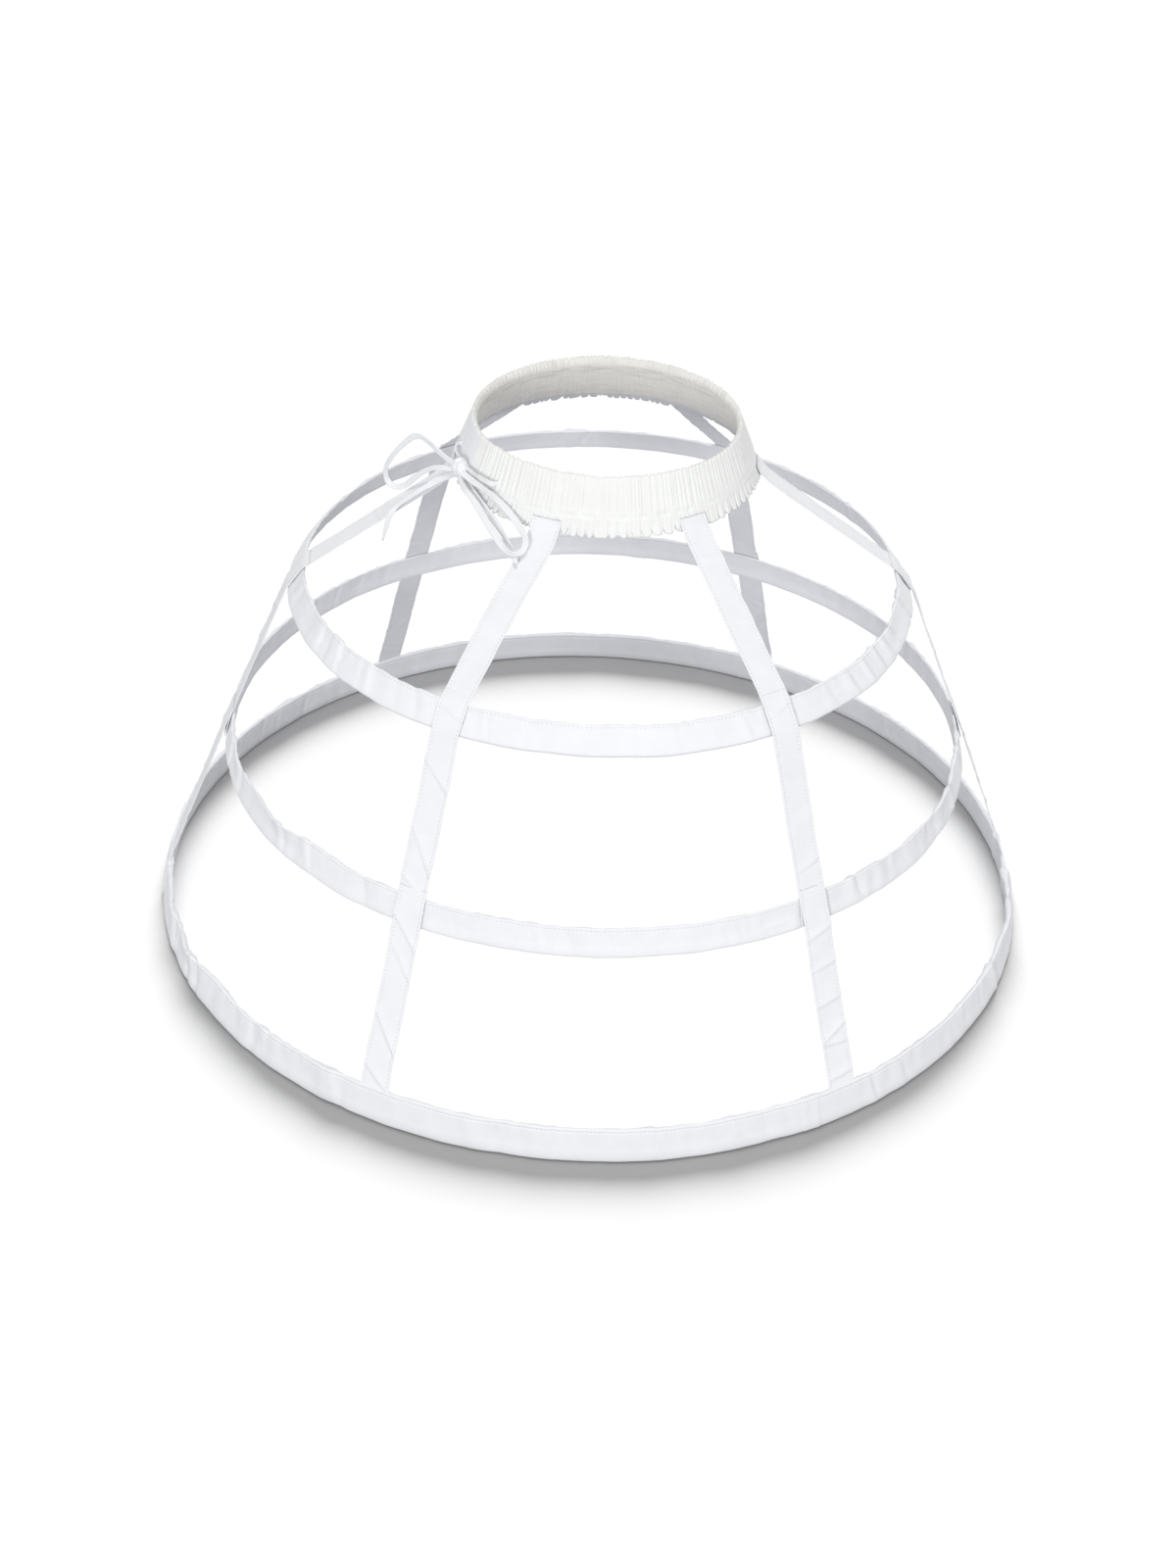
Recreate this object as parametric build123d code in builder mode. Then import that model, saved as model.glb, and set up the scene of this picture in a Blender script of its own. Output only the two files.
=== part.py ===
from build123d import *
import os
from math import atan2, ceil, cos, degrees, hypot, radians, sin, tan

# A cage petticoat for a bustle dress: three boned hoops hung from a gathered waistband by six tapes.
# All sizes are in millimetres and degrees. The origin is on the floor below the waist, the front faces -Y.

# Hoops: outer radius and height of the lower edge, inward lean from upright, height of the casing along its slope
bottom_hoop_radius = 345.0
bottom_hoop_lean = 10.8
bottom_casing_width = 27.0
middle_hoop_radius = 289.0
middle_hoop_height = 139.0
middle_hoop_lean = 11.6
middle_casing_width = 22.5
top_hoop_radius = 237.5
top_hoop_height = 271.5
top_hoop_lean = 30.5
top_casing_width = 22.5

# Casing cloth: half thicknesses of the tube at its sole, at its belly and at its upper edge
cloth = 0.8
sole_half = 2.2
belly_half = 3.0
belly_rise = 1.6
edge_half = 1.2
mouth_half = 1.8
sole_wear = 0.45
seam_lap = 14.0
seam_lift = 0.7
bottom_seam_azimuth = 294.0
middle_seam_azimuth = 78.0
top_seam_azimuth = 348.0

# A ring is a run of short flats, with a flat behind each tape
ring_flats = 54

# Boning inside the casings
bone_height = 7.0
bone_thickness = 1.4
bone_seat = 1.9
bone_end_gap = 1.0
joiner_length = 24.0
joiner_wall = 0.4
joiner_clearance = 0.1

# Tapes: a doubled strip sewn outside the top and middle hoops
tape_width = 22.0
tape_thickness = 1.3
tape_clearance = 0.15
tape_lap = 7.0
tape_tuck = 7.0
tape_seat = 9.0
lap_bite = 0.1
mouth_clearance = 0.3
# each tape's azimuth at the hoops and at the waistband
tape_azimuths = {
    "tape_front_left": (240.0, 245.4),
    "tape_front_right": (300.0, 300.2),
    "tape_right": (0.0, -5.0),
    "tape_back_right": (60.0, 57.7),
    "tape_back_left": (120.0, 123.0),
    "tape_left": (180.0, 186.3),
}

# Waistband: radius over the crests of its gathers, and heights of the ruffle's edge, the stitch line and the rim
rim_radius = 98.5
ruffle_radius = 114.0
ruffle_height = 376.0
ruffle_drop = 13.0
band_rise = 26.5
stitch_height = ruffle_height + ruffle_drop
rim_height = stitch_height + band_rise
stitch_depth = 0.7
stitch_spread = 1.7
gather_count = 72
rim_gather = 0.5
band_gather = 0.6
stitch_gather = 0.5
ruffle_gather = 1.3
band_thickness = 5.4
ruffle_thickness = 3.7
band_cloth = 0.7
gather_cover = 2.0
# where the two crests and the valley of a gather lie, as shares of its width
crest_start = 0.12
crest_end = 0.58
valley = 0.86

# Elastic and drawcord inside the waistband
elastic_margin = 2.2
elastic_thickness = 1.0
inner_clearance = 0.2
drawcord_width = 4.0
drawcord_thickness = 1.0
eyelet_rise = 6.0
eyelet_azimuths = (184.0, 221.0)
eyelet_width = 8.0
eyelet_opening = 5.5
lead_reach = 6.4

# Bow: where the knot lies, its size, and the ribbon's width
knot_azimuth = 199.6
knot_rise = 0.5
knot_length = 11.5
knot_depth = 9.0
knot_height = 10.5
knot_bevel = 2.2
knot_clearance = 0.2
ribbon = 4.0
lead_ribbon = 3.6
ribbon_sides = 4
# routes of the ribbon, as offsets from where the knot sits on the waistband
LOOP_LEFT = [
    (-9.2, 1.7, 3.1),
    (-18.5, 9.5, 6.0),
    (-27.5, 18.5, 12.5),
    (-36.5, 27.5, 13.5),
    (-45.5, 36.5, 1.5),
    (-54.5, 44.5, -12.5),
    (-60.5, 50.5, -27.5),
    (-57.5, 48.5, -39.5),
    (-46.5, 38.5, -36.5),
    (-36.5, 27.5, -20.5),
    (-26.5, 18.5, -9.5),
    (-17.5, 8.5, -3.5),
    (-8.7, 1.9, -1.5),
]
LOOP_RIGHT = [
    (-4.5, -5.6, 1.2),
    (2.3, -17.9, 0.3),
    (10.3, -28.1, -0.2),
    (18.0, -38.5, -1.5),
    (25.5, -47.5, -4.5),
    (32.0, -56.0, -8.5),
    (37.5, -65.5, -12.5),
    (41.5, -76.5, -16.0),
    (38.5, -85.5, -21.0),
    (30.5, -84.5, -23.5),
    (23.5, -74.5, -21.5),
    (17.5, -61.5, -17.0),
    (10.5, -45.5, -12.0),
    (3.7, -30.1, -7.5),
    (-2.7, -20.3, -5.4),
    (-6.0, -6.2, -3.3),
]
TAIL_LEFT = [
    (-5.4, 2.9, -4.6),
    (-18.5, 10.5, -13.5),
    (-28.5, 14.0, -21.5),
    (-39.0, 15.5, -29.5),
    (-49.0, 15.5, -37.0),
    (-56.0, 9.5, -42.5),
    (-58.5, 0.5, -48.0),
    (-61.0, -8.5, -54.5),
]
TAIL_RIGHT = [
    (-1.6, -4.7, -3.1),
    (2.6, -17.6, -5.6),
    (8.3, -29.5, -8.9),
    (13.8, -39.7, -12.6),
    (21.5, -53.5, -16.9),
    (27.5, -67.0, -20.9),
    (31.6, -79.1, -24.5),
    (34.5, -88.8, -28.9),
]
LEAD_LEFT = [(-8.0, 16.5, 4.0), (-3.5, 3.5, 2.0)]
LEAD_RIGHT = [(11.3, -27.3, 5.3), (4.5, -16.7, 4.5), (-0.6, -4.1, 3.3)]

os.makedirs("parts", exist_ok=True)

flat_angle = 360 / ring_flats
band_lean = degrees(atan2(ruffle_radius - rim_radius, rim_height - ruffle_height))
band_slope = cos(radians(band_lean))
eyelet_height = stitch_height + eyelet_rise
cavity_foot = stitch_height + stitch_spread + band_cloth
cavity_top = rim_height - 2 * band_cloth
cavity_depth = elastic_thickness + drawcord_thickness + 3 * inner_clearance
elastic_height = (cavity_top - cavity_foot) / band_slope - 2 * elastic_margin


def radial(azimuth):
    return Vector(cos(radians(azimuth)), sin(radians(azimuth)), 0)


def place(radius, height, azimuth):
    return radial(azimuth) * radius + Vector(0, 0, height)


def flat_middle(azimuth):
    """Azimuth of the middle of the flat that an azimuth falls on."""
    return round(azimuth / flat_angle) * flat_angle


def on_flat(radius, height, azimuth):
    """A point on a ring of flats, whose radius is measured to the middles of the flats."""
    return place(radius / cos(radians(azimuth - flat_middle(azimuth))), height, azimuth)


def section_plane(radius, height, lean, azimuth):
    """A plane across a ring: its x points outward, its y up the ring's slope."""
    facing = radial(flat_middle(azimuth))
    outward = facing * cos(radians(lean)) + Vector(0, 0, sin(radians(lean)))
    return Plane(origin=on_flat(radius, height, azimuth), x_dir=outward, z_dir=facing.cross(Vector(0, 0, 1)))


def ring_path(radius, height, start, arc):
    """Corners of a ring of flats from one azimuth to another, with both ends."""
    corner = flat_middle(start) + flat_angle / 2
    count = ceil((start + arc - corner) / flat_angle)
    turns = [corner + k * flat_angle for k in range(count)]
    return Polyline(*[on_flat(radius, height, azimuth) for azimuth in (start, *turns, start + arc)])


def sweep_ring(section, radius, height, start, arc=360.0, mode=Mode.ADD):
    """Carries a section drawn at the start azimuth round the ring, with a mitre at each corner."""
    with BuildLine() as route:
        ring_path(radius, height, start, arc)
    sweep(section, path=route.wires()[0], transition=Transition.RIGHT, mode=mode)


def finish(node, name):
    node.part.label = name
    export_step(node.part, "parts/" + name + ".step")


class Hoop:
    """Where a hoop's casing stands, and the points on it that tapes and bones use."""

    def __init__(self, radius, height, lean, width, edge, seam_azimuth):
        self.radius = radius - belly_half / cos(radians(lean))
        self.height = height
        self.lean = lean
        self.width = width
        self.edge = edge
        self.seam_azimuth = seam_azimuth

    def plane(self, azimuth):
        return section_plane(self.radius, self.height, self.lean, azimuth)

    def sweep(self, section, start, arc=360.0):
        sweep_ring(section, self.radius, self.height, start, arc)

    def point(self, outward, up):
        """Radius and height of a point given by its place across and up the casing."""
        tilt = radians(self.lean)
        radius = self.radius + outward * cos(tilt) - up * sin(tilt)
        height = self.height + outward * sin(tilt) + up * cos(tilt)
        return radius, height

    def face_tilt(self):
        """How far the casing's outer face looks up from level."""
        return self.lean + degrees(atan2(belly_half - self.edge, self.width - belly_rise))

    def angle_of(self, length):
        return degrees(length / self.radius)


bottom_hoop = Hoop(
    bottom_hoop_radius, -sole_wear, bottom_hoop_lean, bottom_casing_width, mouth_half, bottom_seam_azimuth
)
middle_hoop = Hoop(
    middle_hoop_radius, middle_hoop_height, middle_hoop_lean, middle_casing_width, edge_half, middle_seam_azimuth
)
top_hoop = Hoop(top_hoop_radius, top_hoop_height, top_hoop_lean, top_casing_width, edge_half, top_seam_azimuth)


def casing_outline(hoop, swell=0.0):
    """The tube's outline: flat at the sole, full at the belly and thin at the upper edge."""
    Polyline(
        (sole_half + swell / 2, -swell),
        (belly_half + swell, belly_rise),
        (hoop.edge + swell, hoop.width + swell),
        (-hoop.edge - swell, hoop.width + swell),
        (-belly_half - swell, belly_rise),
        (-sole_half - swell / 2, -swell),
        close=True,
    )


def cavity_outline(hoop):
    floor = cloth + sole_wear
    Polyline(
        (sole_half, floor),
        (hoop.edge - cloth, hoop.width - cloth),
        (cloth - hoop.edge, hoop.width - cloth),
        (-sole_half, floor),
        close=True,
    )


def casing_tube(hoop):
    with BuildSketch(hoop.plane(hoop.seam_azimuth)) as section:
        with BuildLine():
            casing_outline(hoop)
        make_face()
        with BuildLine():
            cavity_outline(hoop)
        make_face(mode=Mode.SUBTRACT)
    return section.sketch


def casing_lap(hoop):
    """The second layer of cloth where the casing's two ends are lapped."""
    with BuildSketch(hoop.plane(hoop.seam_azimuth)) as section:
        with BuildLine():
            casing_outline(hoop, seam_lift)
        make_face()
        with BuildLine():
            casing_outline(hoop, -cloth / 2)
        make_face(mode=Mode.SUBTRACT)
    return section.sketch


def mouth_slot(hoop, azimuth):
    """Opens the upper edge of a casing where a tape's end goes in."""
    plane = hoop.plane(azimuth)
    mouth = Plane(origin=plane.origin + plane.y_dir * (hoop.width + cloth), x_dir=plane.x_dir, z_dir=plane.y_dir)
    with BuildSketch(mouth) as opening:
        Rectangle(2 * (hoop.edge - cloth), tape_width + 2 * mouth_clearance)
    extrude(opening.sketch, amount=-tape_tuck - cloth, mode=Mode.SUBTRACT)


def hoop_casing(hoop, name, mouths=()):
    with BuildPart() as casing:
        hoop.sweep(casing_tube(hoop), hoop.seam_azimuth)
        hoop.sweep(casing_lap(hoop), hoop.seam_azimuth, hoop.angle_of(seam_lap))
        for azimuth in mouths:
            mouth_slot(hoop, azimuth)
        if hoop.height < 0:
            split(bisect_by=Plane.XY, keep=Keep.TOP)
    finish(casing, name)


def hoop_bone(hoop, name):
    """A flat strip bent into a ring whose ends butt inside the joiner."""
    gap = hoop.angle_of(bone_end_gap)
    start = hoop.seam_azimuth + gap / 2
    with BuildSketch(hoop.plane(start)) as strip:
        with Locations((0, bone_seat + bone_height / 2)):
            Rectangle(bone_thickness, bone_height)
    with BuildPart() as bone:
        hoop.sweep(strip.sketch, start, 360 - gap)
    finish(bone, name)


def bone_joiner(hoop, name):
    """A flat sleeve crimped over both ends of the bone."""
    arc = hoop.angle_of(joiner_length)
    start = hoop.seam_azimuth - arc / 2
    bore_thickness = bone_thickness + 2 * joiner_clearance
    bore_height = bone_height + 2 * joiner_clearance
    with BuildSketch(hoop.plane(start)) as sleeve:
        with Locations((0, bone_seat + bone_height / 2)):
            Rectangle(bore_thickness + 2 * joiner_wall, bore_height + 2 * joiner_wall)
            Rectangle(bore_thickness, bore_height, mode=Mode.SUBTRACT)
    with BuildPart() as joiner:
        hoop.sweep(sleeve.sketch, start, arc)
    finish(joiner, name)


def crest_radius(height):
    """Radius over the gathers' crests, which run straight from the ruffle's edge to the rim."""
    share = (height - ruffle_height) / (rim_height - ruffle_height)
    return ruffle_radius + share * (rim_radius - ruffle_radius)


def gathered_ring(height, gather, inset=0.0):
    """A closed zigzag of puffed gathers: each has a broad crest and a sharp valley."""
    step = 360 / gather_count
    crest = crest_radius(height) - inset
    points = []
    for k in range(gather_count):
        for phase, radius in ((crest_start, crest), (crest_end, crest), (valley, crest - 2 * gather)):
            spot = place(radius, height, (k + phase) * step)
            points.append((spot.X, spot.Y))
    with BuildSketch(Plane.XY.offset(height)) as ring:
        with BuildLine():
            Polyline(*points, close=True)
        make_face()
    return ring.sketch


def lining_disc(height, thickness):
    """The disc inside the band's lining at a height, with flats in line with the ring's."""
    with BuildSketch(Plane.XY.offset(height)) as disc:
        RegularPolygon(crest_radius(height) - thickness, ring_flats, major_radius=False, rotation=flat_angle / 2)
    return disc.sketch


def band_strip(inset, centre_height, strip_height, thickness, start=0.0, arc=360.0, mode=Mode.ADD):
    """A flat ring inside the waistband, in line with its slope."""
    radius = crest_radius(centre_height) - inset
    with BuildSketch(section_plane(radius, centre_height, band_lean, start)) as strip:
        Rectangle(thickness, strip_height)
    sweep_ring(strip.sketch, radius, centre_height, start, arc, mode)


def eyelet(azimuth):
    """A slot through the waistband's outer cloth, where the drawcord comes out."""
    spot = place(crest_radius(eyelet_height) - gather_cover - cavity_depth / 2, eyelet_height, azimuth)
    with BuildSketch(Plane(origin=spot, x_dir=(0, 0, 1), z_dir=radial(azimuth))) as slot:
        Rectangle(eyelet_opening, eyelet_width)
    extrude(slot.sketch, amount=band_thickness, mode=Mode.SUBTRACT)


# the cavity's faces stand upright from the band's slope, so their places are measured along it
outer_inset = gather_cover / band_slope
cavity_centre = (cavity_foot + cavity_top) / 2
cavity_height = (cavity_top - cavity_foot) / band_slope
cavity_inset = outer_inset + cavity_depth / 2 / band_slope
drawcord_inset = outer_inset + (inner_clearance + drawcord_thickness / 2) / band_slope
elastic_inset = outer_inset + (cavity_depth - inner_clearance - elastic_thickness / 2) / band_slope
below_ruffle = ruffle_height - band_cloth
above_rim = rim_height + band_cloth

with BuildPart() as waistband:
    rings = [
        gathered_ring(ruffle_height, ruffle_gather),
        gathered_ring(stitch_height - stitch_spread, stitch_gather),
        gathered_ring(stitch_height, stitch_gather, stitch_depth),
        gathered_ring(stitch_height + stitch_spread, band_gather),
        gathered_ring(rim_height, rim_gather),
    ]
    loft(rings, ruled=True)
    linings = [
        lining_disc(below_ruffle, ruffle_thickness),
        lining_disc(stitch_height - stitch_spread, ruffle_thickness),
        lining_disc(stitch_height + stitch_spread, band_thickness),
        lining_disc(above_rim, band_thickness),
    ]
    loft(linings, ruled=True, mode=Mode.SUBTRACT)
    band_strip(cavity_inset, cavity_centre, cavity_height, cavity_depth, mode=Mode.SUBTRACT)
    for azimuth in eyelet_azimuths:
        eyelet(azimuth)
finish(waistband, "waistband")

with BuildPart() as waist_elastic:
    band_strip(elastic_inset, cavity_centre, elastic_height, elastic_thickness)
finish(waist_elastic, "waist_elastic")


def ribbon_path(points):
    """Straight runs joined by arcs as large as the runs allow, and the radii used."""
    spots = [Vector(*p) for p in points]
    radii = []
    for before, here, after in zip(spots, spots[1:], spots[2:]):
        run_in = here - before
        run_out = after - here
        turn = radians(run_in.get_angle(run_out))
        radii.append(0.45 * min(run_in.length, run_out.length) / tan(turn / 2))
    return FilletPolyline(*spots, radius=radii), radii


def ribbon_tube(points, across):
    with BuildLine():
        path, radii = ribbon_path(points)
    with BuildSketch(Plane(origin=path @ 0, z_dir=path % 0)) as section:
        RegularPolygon(across / 2, ribbon_sides)
    sweep(section.sketch, path=path)
    return path.length, radii


knot_height_on_band = stitch_height + knot_rise
bow_origin = place(crest_radius(knot_height_on_band), knot_height_on_band, knot_azimuth)
knot_outward = radial(knot_azimuth) * band_slope + Vector(0, 0, sin(radians(band_lean)))
knot_place = Plane(origin=bow_origin, x_dir=knot_outward, z_dir=radial(knot_azimuth).cross(Vector(0, 0, 1)))

with BuildPart(knot_place) as bow_knot:
    with Locations((knot_clearance + knot_depth / 2, 0, 0)):
        Box(knot_depth, knot_height, knot_length)
    chamfer(bow_knot.edges(), knot_bevel)
finish(bow_knot, "bow_knot")


def from_knot(offsets):
    return [bow_origin + Vector(*offset) for offset in offsets]


def lead_route(azimuth, offsets):
    """Straight out of its eyelet from the drawcord, then along the waistband to the knot."""
    inner = crest_radius(eyelet_height) - drawcord_inset
    out = [place(radius, eyelet_height, azimuth) for radius in (inner, inner + lead_reach)]
    return out + from_knot(offsets)


with BuildPart() as waist_drawcord:
    first, last = eyelet_azimuths
    band_strip(drawcord_inset, eyelet_height, drawcord_width, drawcord_thickness, last, 360 - last + first)
    for azimuth, offsets in zip(eyelet_azimuths, (LEAD_LEFT, LEAD_RIGHT)):
        ribbon_tube(lead_route(azimuth, offsets), lead_ribbon)
    add(bow_knot.part, mode=Mode.SUBTRACT)
finish(waist_drawcord, "waist_drawcord")

for name, offsets in (
    ("tie_loop_left", LOOP_LEFT),
    ("tie_loop_right", LOOP_RIGHT),
    ("tie_tail_left", TAIL_LEFT),
    ("tie_tail_right", TAIL_RIGHT),
):
    with BuildPart() as tie:
        length, radii = ribbon_tube(from_knot(offsets), ribbon)
        add(bow_knot.part, mode=Mode.SUBTRACT)
    print(name, "length", round(length, 1), "smallest radius", round(min(radii), 1))
    finish(tie, name)


def tape_station(spot, lift, tilt):
    """A plane across a tape: the tape lies above it by its lift, and its face looks up by the tilt."""
    radius, height, azimuth = spot
    side = Vector(0, 0, 1).cross(radial(azimuth))
    outward = radial(azimuth) * cos(radians(tilt)) + Vector(0, 0, sin(radians(tilt)))
    origin = place(radius, height, azimuth) + outward * lift
    return Plane(origin=origin, x_dir=side, z_dir=side.cross(outward))


def strip_of_tape(stations):
    sections = []
    for station in stations:
        with BuildSketch(tape_station(*station)) as section:
            Rectangle(tape_width, tape_thickness, align=(Align.CENTER, Align.MIN))
        sections.append(section.sketch)
    loft(sections, ruled=True)


def at_hoop(hoop, outward, up, azimuth):
    radius, height = hoop.point(outward, up)
    return radius, height, azimuth


def blend(low, high, share):
    return tuple(a + (b - a) * share for a, b in zip(low, high))


def run_tilt(low, high):
    """How far a tape's face looks up on a straight run between two spots."""
    return degrees(atan2(low[0] - high[0], high[1] - low[1]))


def hoop_lap(hoop, above, azimuth):
    """The hoop's upper edge, a spot above it on the tape's run, and the run's tilt."""
    edge = at_hoop(hoop, hoop.edge, hoop.width, azimuth)
    tilt = run_tilt(edge, above)
    share = tape_lap / hypot(above[0] - edge[0], above[1] - edge[1])
    return blend(edge, above, share), edge, tilt


# Tapes: each is three strips, lapped and sewn at the top of each hoop
under = tape_clearance
over = tape_clearance + tape_thickness - lap_bite
seat_height = ruffle_height + tape_seat * band_slope
for name, (hoop_azimuth, band_azimuth) in tape_azimuths.items():
    band_top = (crest_radius(seat_height), seat_height, band_azimuth)
    band_foot = (ruffle_radius, ruffle_height, band_azimuth)
    top_belly = at_hoop(top_hoop, belly_half, belly_rise, hoop_azimuth)
    top_seat = at_hoop(top_hoop, belly_half, belly_rise + tape_thickness, hoop_azimuth)
    middle_seat = at_hoop(middle_hoop, belly_half, belly_rise + tape_thickness, hoop_azimuth)
    mouth = at_hoop(bottom_hoop, -tape_thickness / 2, bottom_hoop.width, hoop_azimuth)
    tuck = at_hoop(bottom_hoop, -tape_thickness / 2, bottom_hoop.width - tape_tuck, hoop_azimuth)
    top_lap, top_edge, upper_tilt = hoop_lap(top_hoop, band_foot, hoop_azimuth)
    middle_lap, middle_edge, middle_tilt = hoop_lap(middle_hoop, top_belly, hoop_azimuth)
    lower_tilt = run_tilt(mouth, middle_edge)
    top_bend = (upper_tilt + top_hoop.face_tilt()) / 2
    middle_bend = (middle_tilt + middle_hoop.face_tilt()) / 2
    upper_strip = [
        (band_top, under, band_lean),
        (band_foot, under, (band_lean + upper_tilt) / 2),
        (top_lap, under, upper_tilt),
        (top_edge, under, top_bend),
        (top_seat, under, top_hoop.face_tilt()),
    ]
    middle_strip = [
        (top_lap, over, upper_tilt),
        (top_edge, over, top_bend),
        (top_belly, over, (top_hoop.face_tilt() + middle_tilt) / 2),
        (middle_lap, under, middle_tilt),
        (middle_edge, under, middle_bend),
        (middle_seat, under, middle_hoop.face_tilt()),
    ]
    lower_strip = [
        (middle_lap, over, middle_tilt),
        (middle_edge, over, (middle_tilt + lower_tilt) / 2),
        (mouth, 0, (lower_tilt + bottom_hoop_lean) / 2),
        (tuck, 0, bottom_hoop_lean),
    ]
    with BuildPart() as tape:
        for strip in (upper_strip, middle_strip, lower_strip):
            strip_of_tape(strip)
    finish(tape, name)

for hoop, word, mouths in (
    (bottom_hoop, "bottom", [at_hoops for at_hoops, at_band in tape_azimuths.values()]),
    (middle_hoop, "middle", ()),
    (top_hoop, "top", ()),
):
    hoop_casing(hoop, word + "_hoop_casing", mouths)
    hoop_bone(hoop, word + "_hoop_bone")
    bone_joiner(hoop, word + "_bone_joiner")
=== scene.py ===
import math

import bpy
import numpy as np
from mathutils import Matrix, Vector


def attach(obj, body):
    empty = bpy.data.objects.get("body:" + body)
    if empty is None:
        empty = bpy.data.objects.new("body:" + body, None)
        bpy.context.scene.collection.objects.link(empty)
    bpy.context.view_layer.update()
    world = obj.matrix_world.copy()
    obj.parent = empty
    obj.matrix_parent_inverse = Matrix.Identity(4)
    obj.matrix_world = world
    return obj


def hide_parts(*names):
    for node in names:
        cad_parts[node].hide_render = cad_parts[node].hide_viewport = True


# A white cage petticoat on a white floor. Lengths are in metres unless a name ends in _MM.
# Azimuths are in degrees from +X towards +Y. The front of the cage faces -Y.
MM = 0.001

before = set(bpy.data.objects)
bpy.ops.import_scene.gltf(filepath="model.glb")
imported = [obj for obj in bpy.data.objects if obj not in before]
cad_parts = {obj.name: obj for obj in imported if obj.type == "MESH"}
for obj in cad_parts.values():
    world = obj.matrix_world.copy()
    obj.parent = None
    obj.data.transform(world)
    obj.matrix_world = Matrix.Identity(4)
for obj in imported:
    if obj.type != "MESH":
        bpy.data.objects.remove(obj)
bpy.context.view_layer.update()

# Camera: where the photograph was taken from, in the frame of the photograph, and how that frame is turned
VIEW_TURN = math.radians(-4.0)
CAMERA_DISTANCE = 1.7002
CAMERA_HEIGHT = 1.2530
CAMERA_PITCH = math.radians(34.396)
CAMERA_YAW = math.radians(-0.127)
CAMERA_ROLL = math.radians(2.213)
PICTURE_HEIGHT_PX = 1600
FOCAL_PX = 2630.4
SENSOR_MM = 36.0


def link(name, data):
    made = bpy.data.objects.new(name, data)
    bpy.context.scene.collection.objects.link(made)
    return made


def make_camera():
    turn = Matrix.Rotation(VIEW_TURN, 3, "Z")
    ahead = math.cos(CAMERA_PITCH)
    forward = Vector((math.sin(CAMERA_YAW) * ahead, math.cos(CAMERA_YAW) * ahead, -math.sin(CAMERA_PITCH)))
    level = Vector((math.cos(CAMERA_YAW), -math.sin(CAMERA_YAW), 0))
    upright = level.cross(forward)
    right = turn @ (level * math.cos(CAMERA_ROLL) + upright * math.sin(CAMERA_ROLL))
    up = turn @ (upright * math.cos(CAMERA_ROLL) - level * math.sin(CAMERA_ROLL))
    back = turn @ -forward
    place = turn @ Vector((0, -CAMERA_DISTANCE, CAMERA_HEIGHT))
    camera = link("camera", bpy.data.cameras.new("camera"))
    camera.data.sensor_width = SENSOR_MM
    camera.data.lens = SENSOR_MM * FOCAL_PX / PICTURE_HEIGHT_PX
    rows = [[right[i], up[i], back[i], place[i]] for i in range(3)]
    camera.matrix_world = Matrix([*rows, [0, 0, 0, 1]])
    bpy.context.scene.camera = camera
    return camera


camera = make_camera()

# Waistband: radius over the gathers' crests at the rim and at the ruffle's edge, and the heights
RIM_RADIUS = 98.5 * MM
RUFFLE_RADIUS = 114.0 * MM
RUFFLE_HEIGHT = 376.0 * MM
STITCH_HEIGHT = 389.0 * MM
RIM_HEIGHT = 415.5 * MM
BAND_LEAN = math.atan2(RUFFLE_RADIUS - RIM_RADIUS, RIM_HEIGHT - RUFFLE_HEIGHT)
BAND_LENGTH = math.hypot(RUFFLE_RADIUS - RIM_RADIUS, RIM_HEIGHT - RUFFLE_HEIGHT)
BAND_THICKNESS = 5.5 * MM
RUFFLE_THICKNESS = 2.4 * MM


def radial(azimuth):
    return Vector((math.cos(math.radians(azimuth)), math.sin(math.radians(azimuth)), 0))


def place_at(azimuth, radius, height):
    return radial(azimuth) * radius + Vector((0, 0, height))


def crest_radius(height):
    share = (height - RUFFLE_HEIGHT) / (RIM_HEIGHT - RUFFLE_HEIGHT)
    return RUFFLE_RADIUS + share * (RIM_RADIUS - RUFFLE_RADIUS)


# Bow: its routes are offsets from where the knot sits on the waistband, given point by point
KNOT_AZIMUTH = 199.6
KNOT_HEIGHT = 389.5 * MM
RIBBON_WIDTH = 4.5 * MM
RIBBON_THICKNESS = 1.0 * MM
RIBBON_SPREAD = 1.05
# Shares of a ribbon's facing: to the camera, and out from the cage
FACE_TURN = (0.55, 0.45)
# Knot: size, lift off the band, turns of ribbon and their relief, and its tuck
KNOT_SIZE = (16.0 * MM, 10.5 * MM, 12.5 * MM)
KNOT_LIFT = 0.2 * MM
KNOT_TURNS = 9.0
KNOT_RELIEF = 0.10
KNOT_TUCK = -0.16
BOW = place_at(KNOT_AZIMUTH, crest_radius(KNOT_HEIGHT), KNOT_HEIGHT)
LOOP_LEFT_MM = [
    (-9.2, 1.7, 3.1), (-18.5, 9.5, 6.0), (-27.5, 18.5, 12.5), (-36.5, 27.5, 13.5), (-45.5, 36.5, 1.5),
    (-54.5, 44.5, -12.5), (-60.5, 50.5, -27.5), (-57.5, 48.5, -39.5), (-46.5, 38.5, -36.5), (-36.5, 27.5, -20.5),
    (-26.5, 18.5, -9.5), (-17.5, 8.5, -3.5), (-8.7, 1.9, -1.5),
]
LOOP_RIGHT_MM = [
    (-4.5, -5.6, 1.2), (2.3, -17.9, 0.3), (10.3, -28.1, -0.2), (18.0, -38.5, -1.5), (25.5, -47.5, -4.5),
    (32.0, -56.0, -8.5), (37.5, -65.5, -12.5), (41.5, -76.5, -16.0), (38.5, -85.5, -21.0), (30.5, -84.5, -23.5),
    (23.5, -74.5, -21.5), (17.5, -61.5, -17.0), (10.5, -45.5, -12.0), (3.7, -30.1, -7.5), (-2.7, -20.3, -5.4),
    (-6.0, -6.2, -3.3),
]
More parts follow.
